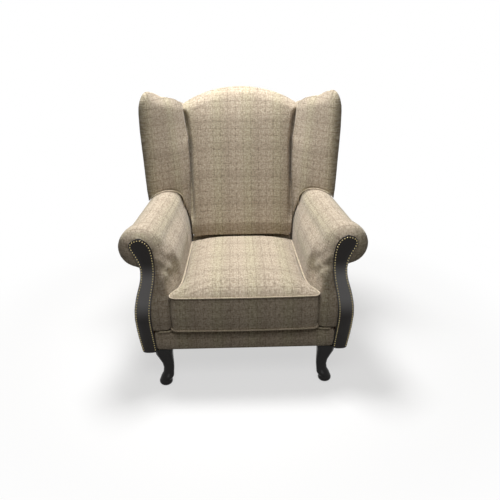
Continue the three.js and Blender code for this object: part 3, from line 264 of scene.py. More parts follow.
# Metals: black stoved pressed steel, zinc-plated wire and channel, and lacquered brass nails.
metals = {
    "blackStovedSteel": {"hex": "26282b", "metallic": 0.0, "roughness": 0.42, "speckMm": 1.2, "vary": 0.08},
    "zincPlatedSteel": {"hex": "b4b8bb", "metallic": 1.0, "roughness": 0.36, "speckMm": 3.0, "vary": 0.12},
    "antiqueBrass": {"hex": "bfae7e", "metallic": 1.0, "roughness": 0.30, "speckMm": 2.0, "vary": 0.10},
}


def metalMaterial(name, m):
    material, tree = newMaterial(name)
    where = addNode(tree, "ShaderNodeTexCoord")
    speck = addNode(tree, "ShaderNodeTexNoise", {}, Vector=(where, "Object"), Scale=1 / (m["speckMm"] * mm), Detail=3.0)
    rough = (addNode(tree, "ShaderNodeMapRange", {}, Value=(speck, 0), i1=0.3, i2=0.7, i3=m["roughness"] - m["vary"],
                     i4=m["roughness"] + m["vary"]), 0)
    bump = addNode(tree, "ShaderNodeBump", {}, Strength=0.06, Distance=0.2 * mm, Height=(speck, 0))
    shader = addNode(tree, "ShaderNodeBsdfPrincipled", {}, Normal=(bump, 0), Roughness=rough)
    shader.inputs["Base Color"].default_value = linearColor(m["hex"])
    shader.inputs["Metallic"].default_value = m["metallic"]
    return finishMaterial(material, tree, shader, m["hex"])


# Black spun-bonded platform cloth under the cushion: matt, with a faint grid of bonded dots.
platformCloth = {"hex": "211e1c", "dots": "2b2725", "dotMm": 3.0, "roughness": 0.9}


def platformMaterial(p):
    material, tree = newMaterial("spunBondedCloth")
    where = addNode(tree, "ShaderNodeTexCoord")
    dots = addNode(tree, "ShaderNodeTexVoronoi", {}, Vector=(where, "Object"), Scale=1 / (p["dotMm"] * mm))
    bump = addNode(tree, "ShaderNodeBump", {}, Strength=0.2, Distance=0.3 * mm, Height=(dots, 0))
    color = blendColor(tree, (dots, 0), linearColor(p["dots"]), linearColor(p["hex"]))
    shader = addNode(tree, "ShaderNodeBsdfPrincipled", {}, Base_Color=color, Normal=(bump, 0), Roughness=p["roughness"])
    return finishMaterial(material, tree, shader, p["hex"])


looks = {
    "tweed": tweedMaterial("checkedWoolTweed", tweed),
    "piping": tweedMaterial("tweedPiping", {**tweed, "light": "d3c8b0", "middle": "b9ab93", "dark": "8b7d69",
                                            "lineShare": 0.0, "strongShare": 0.0, "bandShare": 0.0}),
    "leather": leatherMaterial(leather),
    "platform": platformMaterial(platformCloth),
}
for woodName, woodValues in woods.items():
    looks[woodName] = woodMaterial(woodName, woodValues)
for metalName, metalValues in metals.items():
    looks[metalName] = metalMaterial(metalName, metalValues)
print("materials made")


def linkMesh(name, mesh, look, body):
    obj = bpy.data.objects.new(name, mesh)
    scene.collection.objects.link(obj)
    mesh.materials.clear()
    mesh.materials.append(looks[look])
    mesh.polygons.foreach_set("use_smooth", [True] * len(mesh.polygons))
    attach(obj, body)
    return obj


def applied(obj):
    bpy.context.view_layer.update()
    graph = bpy.context.evaluated_depsgraph_get()
    mesh = bpy.data.meshes.new_from_object(obj.evaluated_get(graph))
    obj.modifiers.clear()
    old = obj.data
    obj.data = mesh
    bpy.data.meshes.remove(old)
    return obj


def coordinates(mesh):
    flat = np.empty(len(mesh.vertices) * 3)
    mesh.vertices.foreach_get("co", flat)
    return flat.reshape(-1, 3)


def normals(mesh):
    flat = np.empty(len(mesh.vertices) * 3)
    mesh.vertices.foreach_get("normal", flat)
    return flat.reshape(-1, 3)


def setCoordinates(mesh, points):
    mesh.vertices.foreach_set("co", points.ravel())
    mesh.update()


# A copy of a CAD node as one even skin of small squares, smoothed like stretched cloth over foam.
def skinCopy(node, voxelMm, smoothing, growMm=0.0):
    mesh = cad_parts[node].data.copy()
    shape = bmesh.new()
    shape.from_mesh(mesh)
    bmesh.ops.remove_doubles(shape, verts=shape.verts, dist=1e-6)
    shape.to_mesh(mesh)
    shape.free()
    obj = bpy.data.objects.new("skin", mesh)
    scene.collection.objects.link(obj)
    remesh = obj.modifiers.new("remesh", "REMESH")
    remesh.mode = "VOXEL"
    remesh.voxel_size = voxelMm * mm
    if smoothing:
        smooth = obj.modifiers.new("smooth", "SMOOTH")
        smooth.factor = 0.5
        smooth.iterations = smoothing
    applied(obj)
    if growMm:
        setCoordinates(obj.data, coordinates(obj.data) + normals(obj.data) * growMm * mm)
    mesh = obj.data.copy()
    bpy.data.objects.remove(obj)
    return mesh


# Relaxes a mesh where the weights say, as cloth pulled over foam rounds an edge.
def relax(mesh, weights, rounds):
    obj = bpy.data.objects.new("relaxed", mesh)
    scene.collection.objects.link(obj)
    group = obj.vertex_groups.new(name="soft")
    steps = np.round(weights * 10).astype(int)
    for step in range(1, 11):
        group.add([int(i) for i in np.flatnonzero(steps == step)], step / 10, "REPLACE")
    smooth = obj.modifiers.new("smooth", "SMOOTH")
    smooth.factor = 0.5
    smooth.iterations = rounds
    smooth.vertex_group = "soft"
    applied(obj)
    mesh = obj.data.copy()
    bpy.data.objects.remove(obj)
    return mesh


# The largest value across, in steps along one axis, read off at the given places.
def outermost(along, across, places, stepMm=12):
    middles, tops = [], []
    for middle in np.arange(along.min(), along.max() + stepMm * mm, stepMm * mm):
        near = np.abs(along - middle) < stepMm * mm
        if near.any():
            middles.append(middle)
            tops.append(across[near].max())
    return np.interp(places, middles, tops)


# Runs smoothly from 0 at start to 1 at end.
def fade(values, start, end):
    share = np.clip((values - start) / (end - start), 0, 1)
    return share * share * (3 - 2 * share)


def fadeMm(values, start, end):
    return fade(values, start * mm, end * mm)


def setWeave(mesh, uv):
    attribute = mesh.attributes.new("weave", "FLOAT_VECTOR", "POINT")
    full = np.zeros((len(mesh.vertices), 3))
    full[:, :uv.shape[1]] = uv
    attribute.data.foreach_set("vector", full.ravel())


# Lays the weave on by the side that each point faces.
def boxWeave(mesh):
    points, facing = coordinates(mesh), np.abs(normals(mesh))
    uv = points[:, [0, 2]].copy()
    top = facing[:, 2] > np.maximum(facing[:, 0], facing[:, 1])
    side = (facing[:, 0] > facing[:, 1]) & ~top
    uv[top] = points[top][:, [0, 1]]
    uv[side] = points[side][:, [1, 2]]
    return uv


# A round cord of cloth along a line of points. Its seam allowance is hidden, so it is left out.
def pipe(points, radius, closed=False, sides=8):
    points = np.asarray(points, float)
    count = len(points)
    ahead = np.roll(points, -1, 0) - np.roll(points, 1, 0) if closed else np.gradient(points, axis=0)
    ahead /= np.linalg.norm(ahead, axis=1)[:, None]
    up = np.array([0.0, 0.0, 1.0])
    vertices, faces = [], []
    for place, heading in zip(points, ahead):
        side = np.cross(heading, up)
        if np.linalg.norm(side) < 0.2:
            side = np.cross(heading, [0.0, 1.0, 0.0])
        side /= np.linalg.norm(side)
        rise = np.cross(side, heading)
        up = rise
        for k in range(sides):
            turn = 2 * math.pi * k / sides
            vertices.append(place + radius * (math.cos(turn) * side + math.sin(turn) * rise))
    rings = count if closed else count - 1
    for i in range(rings):
        for k in range(sides):
            a, b = i * sides + k, i * sides + (k + 1) % sides
            c, d = ((i + 1) % count) * sides + (k + 1) % sides, ((i + 1) % count) * sides + k
            faces.append((d, c, b, a))
    if not closed:
        faces.append(tuple(range(sides)))
        faces.append(tuple((count - 1) * sides + k for k in range(sides))[::-1])
    mesh = bpy.data.meshes.new("pipe")
    mesh.from_pydata([tuple(p) for p in vertices], [], faces)
    mesh.update()
    length = np.concatenate([[0], np.cumsum(np.linalg.norm(np.diff(points, axis=0), axis=1))])
    setWeave(mesh, np.repeat(np.stack([length, length * 0], 1), sides, 0))
    return mesh


def evenPoints(points, step, closed=False):
    points = np.asarray(points, float)
    if closed:
        points = np.vstack([points, points[:1]])
    length = np.concatenate([[0], np.cumsum(np.linalg.norm(np.diff(points, axis=0), axis=1))])
    count = max(2, int(round(length[-1] / step)))
    at = np.linspace(0, length[-1], count + 1)
    if closed:
        at = at[:-1]
    return np.stack([np.interp(at, length, points[:, k]) for k in range(3)], 1)


def smoothLoop(points, rounds):
    for _ in range(rounds):
        points = (np.roll(points, 1, 0) + 2 * points + np.roll(points, -1, 0)) / 4
    return points


cushionPiece = {
    "voxelMm": 5.0, "smoothing": 8, "lastSmoothing": 3, "pinBandMm": 7.0, "capMm": 7.0,
    "pressure": 4.0, "frames": 16, "quality": 4, "tension": 12, "bending": 2,
    "crownMm": 43.0, "cordMm": 4.0, "pipingMm": 3.6, "standMm": 1.0, "stepMm": 5.0, "rounds": 6,
    "liftMm": 2.5,          # the lower piping sits this much higher, clear of the links
}


# The cushion's outline at one height, read from its CAD solid.
def ringAt(node, height, tolerance=0.6 * mm):
    points = coordinates(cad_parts[node].data)
    level = points[np.abs(points[:, 2] - height) < tolerance]
    level = np.unique(np.round(level, 5), axis=0)
    centre = level.mean(0)
    order = np.argsort(np.arctan2(level[:, 1] - centre[1], level[:, 0] - centre[0]))
    return level[order]


# Cloth simulation under air pressure, held along the piped edges and capped so that it only swells a little.
def pressCloth(obj, pinned, c):
    group = obj.vertex_groups.new(name="held")
    group.add([int(i) for i in np.flatnonzero(pinned)], 1.0, "REPLACE")
    before = coordinates(obj.data)
    cloth = obj.modifiers.new("cloth", "CLOTH")
    cloth.settings.use_pressure = True
    cloth.settings.uniform_pressure_force = c["pressure"]
    cloth.settings.vertex_group_mass = "held"
    cloth.settings.effector_weights.gravity = 0
    cloth.settings.quality = c["quality"]
    cloth.settings.tension_stiffness = c["tension"]
    cloth.settings.bending_stiffness = c["bending"]
    cloth.point_cache.frame_start = 1
    cloth.point_cache.frame_end = c["frames"]
    for step in range(1, c["frames"] + 1):
        scene.frame_set(step)
    applied(obj)
    scene.frame_set(1)
    after = coordinates(obj.data)
    move = after - before
    reach = np.linalg.norm(move, axis=1)
    limit = c["capMm"] * mm
    scale = np.where(reach > 1e-9, limit * np.tanh(reach / limit) / np.maximum(reach, 1e-9), 0)
    setCoordinates(obj.data, before + move * scale[:, None])


def makeCushion(c):
    low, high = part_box("seat_cushion")
    skin = skinCopy("seat_cushion", c["voxelMm"], c["smoothing"])
    obj = linkMesh("seat_cushion_cover", skin, "tweed", "seat")
    edgeTop = high.z - c["crownMm"] * mm - c["cordMm"] * mm
    edgeLow = low.z + c["cordMm"] * mm
    points = coordinates(obj.data)
    band = c["pinBandMm"] * mm
    pressCloth(obj, (np.abs(points[:, 2] - edgeTop) < band) | (points[:, 2] < edgeLow + band), c)
    print("cushion pressed")
    smooth = obj.modifiers.new("smooth", "SMOOTH")
    smooth.factor = 0.5
    smooth.iterations = c["lastSmoothing"]
    applied(obj)
    points = coordinates(obj.data)
    points[:, 2] = np.maximum(points[:, 2], low.z)
    setCoordinates(obj.data, points)
    setWeave(obj.data, boxWeave(obj.data))
    obj.data.polygons.foreach_set("use_smooth", [True] * len(obj.data.polygons))
    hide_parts("seat_cushion")
    for name, height in (("top", edgeTop), ("bottom", edgeLow)):
        ring = ringAt("seat_cushion", height)
        loop = smoothLoop(evenPoints(ring, c["stepMm"] * mm, True), c["rounds"])
        centre = loop.mean(0)
        away = loop - centre
        away[:, 2] = 0
        away /= np.linalg.norm(away, axis=1)[:, None]
        loop = loop + away * c["standMm"] * mm
        if name == "bottom":
            loop[:, 2] += c["liftMm"] * mm
        linkMesh("cushion_piping_" + name, pipe(loop, c["pipingMm"] * mm, True), "piping", "seat")


makeCushion(cushionPiece)
print("cushion made")


armPiece = {
    "voxelMm": 4.5, "smoothing": 14, "growMm": 0.6,
    # Axis of the roll at the facing and at the wing
    "rollRadiusMm": 70, "rollFrontXMm": 392, "rollRearXMm": 346, "rollFrontZMm": 578, "rollRearZMm": 595,
    "frontYMm": -370, "wingFrontYMm": 100,
    "rimMm": 14, "dishMm": 28, "dishReachMm": 40, "dishZMm": (495, 520),
    # Beside the leather: height, then how far the pad has sunk in there
    "sunkMm": [(270, 0), (330, 2), (360, 8), (390, 24), (420, 44), (450, 60), (510, 70), (560, 62), (600, 44),
               (635, 28)],
    "sunkXMm": (335, 370),
    "noseDeepMm": 150, "noseRounds": 30, "noseGrowMm": 11.0, "noseZMm": (470, 530), "sillZMm": (270, 360),
    "innerZMm": (400, 470), "innerRounds": 40, "fullMm": 11, "fullZMm": 530, "fullSpreadMm": 75, "wingGapMm": (70, 20),
    "pullMm": 2.2, "pullEveryMm": 9, "pullBendMm": 30, "pullZMm": 500, "pullBackMm": 45, "pullHighMm": 60,
    "pleatMm": 1.0, "pleatDeepMm": 22, "pleatFromMm": 30, "pleatOverMm": 45, "pleats": 11,
}


# Cloth coordinates round the roll and down the inner face, with the roll's axis and the turn about it.
def armWeave(points, side, a):
    y = points[:, 1]
    along = np.clip((y / mm - a["frontYMm"]) / (a["wingFrontYMm"] - a["frontYMm"]), 0, 1)
    rollX = (a["rollFrontXMm"] + (a["rollRearXMm"] - a["rollFrontXMm"]) * along) * mm
    rollZ = (a["rollFrontZMm"] + (a["rollRearZMm"] - a["rollFrontZMm"]) * along) * mm
    x = points[:, 0] * side
    z = points[:, 2]
    turn = np.arctan2(z - rollZ, x - rollX)
    inner = (z < rollZ) & (x < rollX)
    arc = (math.pi - turn) * a["rollRadiusMm"] * mm
    v = np.where(inner, z - rollZ, arc)
    return np.stack([v, y], 1), rollX, rollZ, turn


# The belly: arm front and leather stand forward a little above the seam and lean back from there
belly = {"forwardMm": 20, "fromZMm": 165, "fullZMm": 325, "leanZMm": 340, "endZMm": 480, "deepMm": (5, 70)}


def bellyForward(z, b):
    return b["forwardMm"] * mm * fadeMm(z, b["fromZMm"], b["fullZMm"]) * (1 - fadeMm(z, b["leanZMm"], b["endZMm"]))


# The front is dished back towards its rim and sinks in beside the leather below the roll, and the nose is rounded.
def shapeArmFront(skin, side, a, b):
    points, facing = coordinates(skin), normals(skin)
    x, y, z = points[:, 0] * side / mm, points[:, 1] / mm, points[:, 2] / mm
    first, deep = a["frontYMm"], a["noseDeepMm"]
    ahead, foremost = facing[:, 1] < -0.5, y < first + a["rimMm"]
    rim = points[foremost & ~ahead][:, [0, 2]]
    face = np.flatnonzero(foremost & ahead)
    inset = np.array([np.hypot(*(rim - points[i, [0, 2]]).T).min() for i in face]) / mm
    dish = np.ones(len(points))
    dish[face] = (1 - np.clip(inset / a["dishReachMm"], 0, 1)) ** 1.5
    sunk = np.interp(z, *zip(*a["sunkMm"]))
    back = sunk + (a["dishMm"] * fade(z, *a["dishZMm"]) - sunk) * fade(x, *a["sunkXMm"])
    points[:, 1] += dish * back * mm * (1 - fade(y, first, first + deep))
    points[:, 1] -= bellyForward(points[:, 2], b) * (1 - fade(y, first + b["deepMm"][0], first + b["deepMm"][1]))
    setCoordinates(skin, points)
    points = coordinates(skin)
    nose = 1 - fadeMm(points[:, 1], first + deep * 0.4, first + deep)
    skin = relax(skin, nose * (0.2 + 0.8 * fadeMm(points[:, 2], *a["sillZMm"])), a["noseRounds"])
    points, facing = coordinates(skin), normals(skin)
    fuller = nose * fadeMm(points[:, 2], *a["noseZMm"]) * a["noseGrowMm"] * mm
    setCoordinates(skin, points + facing * [1, 0, 1] * fuller[:, None])
    return skin


# The inner face is filled out under the roll, as foam under pulled cloth.
def fillArmInside(skin, side, a):
    points, facing = coordinates(skin), normals(skin)
    inner = fadeMm(points[:, 2], *a["innerZMm"]) * fade(-facing[:, 0] * side, 0.1, 0.5)
    inner *= 1 - fadeMm(points[:, 1], *(a["wingFrontYMm"] - gap for gap in a["wingGapMm"]))
    full = inner * np.exp(-((points[:, 2] / mm - a["fullZMm"]) / a["fullSpreadMm"]) ** 2) * a["fullMm"] * mm
    setCoordinates(skin, points + facing * full[:, None])
    return relax(skin, inner, a["innerRounds"])


# Pull lines fan down from the roll at the front of the inner face, and gathers run from the roll's rim towards the
# head of the facing.
def pullArmCloth(skin, side, a):
    points, facing = coordinates(skin), normals(skin)
    uv, rollX, rollZ, turn = armWeave(points, side, a)
    ends = np.abs(facing[:, 1]) > 0.7
    uv[ends] = points[ends][:, [0, 2]]
    x, y, z = points[:, 0] * side, points[:, 1], points[:, 2]
    backward = (y - (a["frontYMm"] + a["pullBackMm"]) * mm) / (a["pullBackMm"] * mm)
    upward = (z - a["pullZMm"] * mm) / (a["pullHighMm"] * mm)
    near = np.exp(-(backward ** 2 + upward ** 2))
    inward = np.clip(-facing[:, 0] * side, 0, 1)
    waves = np.sin((z * 0.82 + y * 0.9) / (a["pullEveryMm"] * mm) + 1.5 * np.sin(y / (a["pullBendMm"] * mm)))
    frontFace = np.exp(-((y - a["frontYMm"] * mm) / (a["pleatDeepMm"] * mm)) ** 2)
    fromAxis = np.clip((np.hypot(x - rollX, z - rollZ) - a["pleatFromMm"] * mm) / (a["pleatOverMm"] * mm), 0, 1)
    gathers = np.sin(turn * a["pleats"] + 1.4 * np.sin(turn * 3)) * fromAxis * (turn < 2.7)
    lift = (a["pullMm"] * near * inward * waves + a["pleatMm"] * frontFace * gathers) * mm
    setCoordinates(skin, points + facing * lift[:, None])
    setWeave(skin, uv)


def makeArm(side, word, a, b):
    skin = skinCopy("arm_pad_" + word, a["voxelMm"], a["smoothing"], a["growMm"])
    skin = fillArmInside(shapeArmFront(skin, side, a, b), side, a)
    pullArmCloth(skin, side, a)
    obj = linkMesh("arm_cover_" + word, skin, "tweed", "base")
    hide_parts("arm_pad_" + word)


for side, word in ((1, "right"), (-1, "left")):
    makeArm(side, word, armPiece, belly)
print("arms made")


wingPiece = {
    "voxelMm": 4.5, "smoothing": 10, "growMm": 1.2, "leanDeg": 36,
    "creaseXMm": 265, "tipXMm": 370, "valleyLiftMm": 25, "valleyZMm": (880, 1000), "closeMm": 2.0,
    "roundMm": 13, "roundZMm": 44, "roundXMm": (340, 390), "footZMm": (640, 680), "clearMm": 1.9,
}


def makeWing(side, word, w):
    skin = skinCopy("wing_pad_" + word, w["voxelMm"], w["smoothing"], w["growMm"])
    points, facing = coordinates(skin), normals(skin)
    # The top edge stays high until it meets the back, and the inner end presses against the back pad
    nearCrease = 1 - fadeMm(points[:, 0] * side, w["creaseXMm"], w["tipXMm"])
    points[:, 2] += nearCrease * fadeMm(points[:, 2], *w["valleyZMm"]) * w["valleyLiftMm"] * mm
    points[:, 0] -= side * w["closeMm"] * mm * nearCrease * fade(-facing[:, 0] * side, 0.3, 0.8)
    # The foot keeps clear of the arm when the back reclines
    points -= facing * ((1 - fadeMm(points[:, 2], *w["footZMm"])) * w["clearMm"] * mm)[:, None]
    # The top rounds back, but for the tip
    below = outermost(points[:, 0] * side, points[:, 2], points[:, 0] * side) - points[:, 2]
    rounded = (1 - fadeMm(below, 0, w["roundZMm"])) * fade(-facing[:, 1], -0.1, 0.6)
    points[:, 1] += w["roundMm"] * mm * rounded * (1 - fadeMm(points[:, 0] * side, *w["roundXMm"]))
    setCoordinates(skin, points)
    lean = math.radians(w["leanDeg"])
    u = points[:, 0] * side * math.sin(lean) - points[:, 1] * math.cos(lean)
    setWeave(skin, np.stack([u, points[:, 2]], 1))
    obj = linkMesh("wing_cover_" + word, skin, "tweed", "back")
    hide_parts("wing_pad_" + word)


backPiece = {
    "voxelMm": 5.0, "smoothing": 10, "growMm": 1.4, "rollBackMm": 26, "rollZMm": (930, 1093),
    "closeMm": 4.0, "closeZMm": (480, 560), "roundMm": 46, "roundXMm": 24, "roundEndZMm": (960, 1010),
    "slope": 0.6,           # how the weave counts the way back along the top
}


def makeBack(b):
    skin = skinCopy("back_pad", b["voxelMm"], b["smoothing"], b["growMm"])
    points, facing = coordinates(skin), normals(skin)
    low, top = b["rollZMm"]
    high = np.clip((points[:, 2] / mm - low) / (top - low), 0, 1)
    points[:, 1] += b["rollBackMm"] * mm * high ** 2 * fade(-facing[:, 1], -0.2, 0.6)
    # The sides round back into the creases beside the wings and press against these
    inward = outermost(points[:, 2], np.abs(points[:, 0]), points[:, 2]) - np.abs(points[:, 0])
    aboveArms = fadeMm(points[:, 2], *b["closeZMm"])
    beside = (1 - fadeMm(inward, 0, b["roundXMm"])) * aboveArms * (1 - fadeMm(points[:, 2], *b["roundEndZMm"]))
    points[:, 1] += b["roundMm"] * mm * beside * fade(-facing[:, 1], -0.1, 0.6)
    points[:, 0] += b["closeMm"] * mm * fade(np.abs(facing[:, 0]), 0.3, 0.9) * np.sign(facing[:, 0]) * aboveArms
    setCoordinates(skin, points)
    setWeave(skin, np.stack([points[:, 0], points[:, 2] + b["slope"] * points[:, 1]], 1))
    obj = linkMesh("back_cover", skin, "tweed", "back")
    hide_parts("back_pad")


# The inside back's cloth runs on below its pad as a tail, pulled down behind the cushion to the lower rail.
tailPiece = {
    "halfWidthMm": 234, "topZMm": 424, "footZMm": 306, "topYMm": 192, "footYMm": 195, "thickMm": 1.6, "stepMm": 8,
    "waveMm": 0.8, "waveEveryMm": 17,
}


def makeTail(t):
    columns = int(2 * t["halfWidthMm"] / t["stepMm"])
    rows = int((t["topZMm"] - t["footZMm"]) / t["stepMm"])
    vertices, faces = [], []
    for layer in (0, 1):
        for i in range(rows + 1):
            down = i / rows
            for k in range(columns + 1):
                x = -t["halfWidthMm"] + 2 * t["halfWidthMm"] * k / columns
                wave = t["waveMm"] * math.sin(x / t["waveEveryMm"]) * down
                y = t["topYMm"] + (t["footYMm"] - t["topYMm"]) * down + wave + layer * t["thickMm"]
                vertices.append((x * mm, y * mm, (t["topZMm"] + (t["footZMm"] - t["topZMm"]) * down) * mm))
    across, sheet = columns + 1, (rows + 1) * (columns + 1)
    for i in range(rows):
        for k in range(columns):
            a = i * across + k
            faces.append((a, a + across, a + across + 1, a + 1))
            faces.append((a + sheet, a + 1 + sheet, a + across + 1 + sheet, a + across + sheet))
    rim = list(range(across)) + [i * across + columns for i in range(1, rows + 1)]
    rim += [rows * across + k for k in range(columns - 1, -1, -1)] + [i * across for i in range(rows - 1, 0, -1)]
    for a, b in zip(rim, rim[1:] + rim[:1]):
        faces.append((a, b, b + sheet, a + sheet))
    mesh = bpy.data.meshes.new("tail")
    mesh.from_pydata(vertices, [], faces)
    mesh.update()
    setWeave(mesh, coordinates(mesh)[:, [0, 2]])
    obj = linkMesh("back_tail", mesh, "tweed", "back")


for side, word in ((1, "right"), (-1, "left")):
    makeWing(side, word, wingPiece)
makeBack(backPiece)
makeTail(tailPiece)
print("wings and back made")


panels = {
    "voxelMm": 2.4, "smoothing": 8, "growMm": 0.3, "tuckMm": 14, "tuckZMm": (400, 440),
    "names": [("arm_outer_panel_right", "base"), ("arm_outer_panel_left", "base"), ("arm_rear_cover_right", "base"),
              ("arm_rear_cover_left", "base"), ("rear_apron", "base"), ("wing_outer_panel_right", "back"),
              ("wing_outer_panel_left", "back"), ("outside_back", "back"), ("footrest_pad", "footrest")],
}


def makePanel(node, body, p):
    skin = skinCopy(node, p["voxelMm"], p["smoothing"], p["growMm"])
    if node.startswith("arm_outer_panel"):
        # The cloth is tucked up under the roll
        points = coordinates(skin)
        points[:, 2] += fade(normals(skin)[:, 2], 0.1, 0.7) * fadeMm(points[:, 2], *p["tuckZMm"]) * p["tuckMm"] * mm
        setCoordinates(skin, points)
    setWeave(skin, boxWeave(skin))
    obj = linkMesh(node + "_cover", skin, "tweed", body)
    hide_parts(node)


for node, body in panels["names"]:
    makePanel(node, body, panels)
print("panels made")


facingPiece = {
    "voxelMm": 2.5, "smoothing": 6, "widerMm": 2.5, "domeMm": 4.0,
    "headMm": 14, "headCentreMm": 26,       # how far down the round head reaches, and the centre of its nails
    "nailMm": 2.3, "pitchMm": 10.4, "insetMm": 4.5, "domeShare": 0.6, "sunkMm": 1.2, "nearMm": 5, "thickMm": 8,
}


def nailHead(place, outward, radius, domeShare, vertices, faces, rings=3, sides=10):
    side = np.cross(outward, [0, 0, 1.0])
    side /= np.linalg.norm(side)
    up = np.cross(side, outward)
    first = len(vertices)
    for i in range(rings):
        tilt = math.pi / 2 * i / rings
        for k in range(sides):
            turn = 2 * math.pi * k / sides
            flat = radius * math.cos(tilt)
            vertices.append(tuple(place + flat * (math.cos(turn) * side + math.sin(turn) * up)
                                  + outward * radius * domeShare * math.sin(tilt)))
    vertices.append(tuple(place + outward * radius * domeShare))
    top = len(vertices) - 1
    for i in range(rings - 1):
        for k in range(sides):
            a, b = first + i * sides + k, first + i * sides + (k + 1) % sides
            faces.append((a + sides, b + sides, b, a))
    last = first + (rings - 1) * sides
    for k in range(sides):
        faces.append((top, last + (k + 1) % sides, last + k))
    faces.append(tuple(first + k for k in range(sides)))


# The leather follows the belly of the arm, and its nails stand in a line just inside its edge.
def makeFacing(side, word, f, b):
    node = "arm_facing_" + word
    skin = skinCopy(node, f["voxelMm"], f["smoothing"])
    setCoordinates(skin, coordinates(skin) + normals(skin) * [1, 0, 1] * f["widerMm"] * mm)
    points = coordinates(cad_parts[node].data)
    rear = points[:, 1].max()
    levels = np.unique(np.round(points[:, 2], 5))
    inner, outer = [], []
    for z in levels:
        row = np.abs(points[:, 2] - z) < 1e-5
        xs = points[row][:, 0] * side
        inner.append((xs.min(), z))
        outer.append((xs.max(), z))
    inside, outside = np.array(inner), np.array(outer)
    spots, facing = coordinates(skin), normals(skin)
    low, high = (np.interp(spots[:, 2], edge[:, 1], edge[:, 0]) for edge in (inside, outside))
    share = np.clip((spots[:, 0] * side - low) / np.maximum(high - low, 1e-6), 0, 1)
    spots[:, 1] -= f["domeMm"] * mm * 4 * share * (1 - share) * fade(-facing[:, 1], 0.3, 0.8)
    spots[:, 1] -= bellyForward(spots[:, 2], b)
    setCoordinates(skin, spots)
    obj = linkMesh(node + "_hide", skin, "leather", "base")
    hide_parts(node)
    rim = np.array(inner + outer[::-1])
    middle = (np.array(inner) + np.array(outer)) / 2
    inset = []
    for i, (x, z) in enumerate(rim):
        centre = middle[min(i, len(rim) - 1 - i)]
        toward = np.array([centre[0] - x, 0.0])
        if z > levels[-1] - f["headMm"] * mm:
            toward = np.array([centre[0] - x, levels[-1] - f["headCentreMm"] * mm - z])
        length = np.linalg.norm(toward)
        inset.append(np.array([x, z]) + toward / max(length, 1e-6) * min(f["insetMm"] * mm, length * 0.8))
    inset = np.array(inset)
    line = evenPoints(np.stack([inset[:, 0] * side, inset[:, 0] * 0, inset[:, 1]], 1), f["pitchMm"] * mm)
    surface = coordinates(skin)
    vertices, faces = [], []
    for place in line[1:-1]:
        near = np.hypot(surface[:, 0] - place[0], surface[:, 2] - place[2]) < f["nearMm"] * mm
        front = surface[near][:, 1].min() if near.any() else rear - f["thickMm"] * mm
        centre = np.array([place[0], front + f["sunkMm"] * mm, place[2]])
        nailHead(centre, np.array([0.0, -1.0, 0.0]), f["nailMm"] * mm, f["domeShare"], vertices, faces)
    mesh = bpy.data.meshes.new("nails")
    mesh.from_pydata(vertices, [], faces)
    mesh.update()
    linkMesh("facing_nails_" + word, mesh, "antiqueBrass", "base")


for side, word in ((1, "right"), (-1, "left")):
    makeFacing(side, word, facingPiece, belly)
print("facings made")


legPiece = {"voxelMm": 2.0, "smoothing": 8, "fullerMm": 3.0, "kneeZMm": (60, 110)}
for word in ("right", "left"):
    for place in ("front", "rear"):
        node = f"{place}_leg_{word}"
        skin = skinCopy(node, legPiece["voxelMm"], legPiece["smoothing"])
        points, facing = coordinates(skin), normals(skin)
        low = 1 - fadeMm(points[:, 2], *legPiece["kneeZMm"])
        points += facing * (low * legPiece["fullerMm"] * mm)[:, None]
        points[:, 2] = np.maximum(points[:, 2], 0)
        setCoordinates(skin, points)
        leg = linkMesh(node + "_carved", skin, "ebonisedLegWood", "base")
        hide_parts(node)
print("legs made")


# The cord runs round the roll of the arm, along the foot of the wing: turn in degrees, then how far back it lies
weltPiece = {
    "radiusMm": 2.6, "standMm": 3.6, "steps": 70,
    "path": [(36, 78), (48, 76), (60, 75), (80, 92), (100, 115), (120, 137), (140, 156), (160, 170), (180, 178),
             (206, 184)],
}


def makeWelts(side, word, w, a):
    radius = a["rollRadiusMm"] + w["standMm"]
    turns, depths = zip(*w["path"])
    points = []
    for turn in np.linspace(turns[0], turns[-1], w["steps"]):
        y = float(np.interp(turn, turns, depths))
        along = (y - a["frontYMm"]) / (a["wingFrontYMm"] - a["frontYMm"])
        rollX = a["rollFrontXMm"] + (a["rollRearXMm"] - a["rollFrontXMm"]) * along
        rollZ = a["rollFrontZMm"] + (a["rollRearZMm"] - a["rollFrontZMm"]) * along
        angle = math.radians(turn)
        out, up = rollX + radius * math.cos(angle), rollZ + radius * math.sin(angle)
        points.append((side * out * mm, y * mm, up * mm))
    linkMesh("wing_welt_" + word, pipe(points, w["radiusMm"] * mm), "piping", "back")


# The cord under the arm's front edge, above the footrest band, which turns back at its inner end
sillPiece = {
    "radiusMm": 3.2, "zMm": 244.6, "stepMm": 4,
    "points": [(334, -384), (305, -385), (288, -383), (280, -375), (277, -360)],
}


def makeSill(side, word, c):
    line = np.array([(x * side, y, c["zMm"]) for x, y in c["points"]]) * mm
    for _ in range(2):
        line[1:-1] = (line[:-2] + 2 * line[1:-1] + line[2:]) / 4
    cord = pipe(evenPoints(line, c["stepMm"] * mm), c["radiusMm"] * mm)
    linkMesh("arm_sill_piping_" + word, cord, "piping", "base")


for side, word in ((1, "right"), (-1, "left")):
    makeWelts(side, word, weltPiece, armPiece)
    makeSill(side, word, sillPiece)
print("welts made")


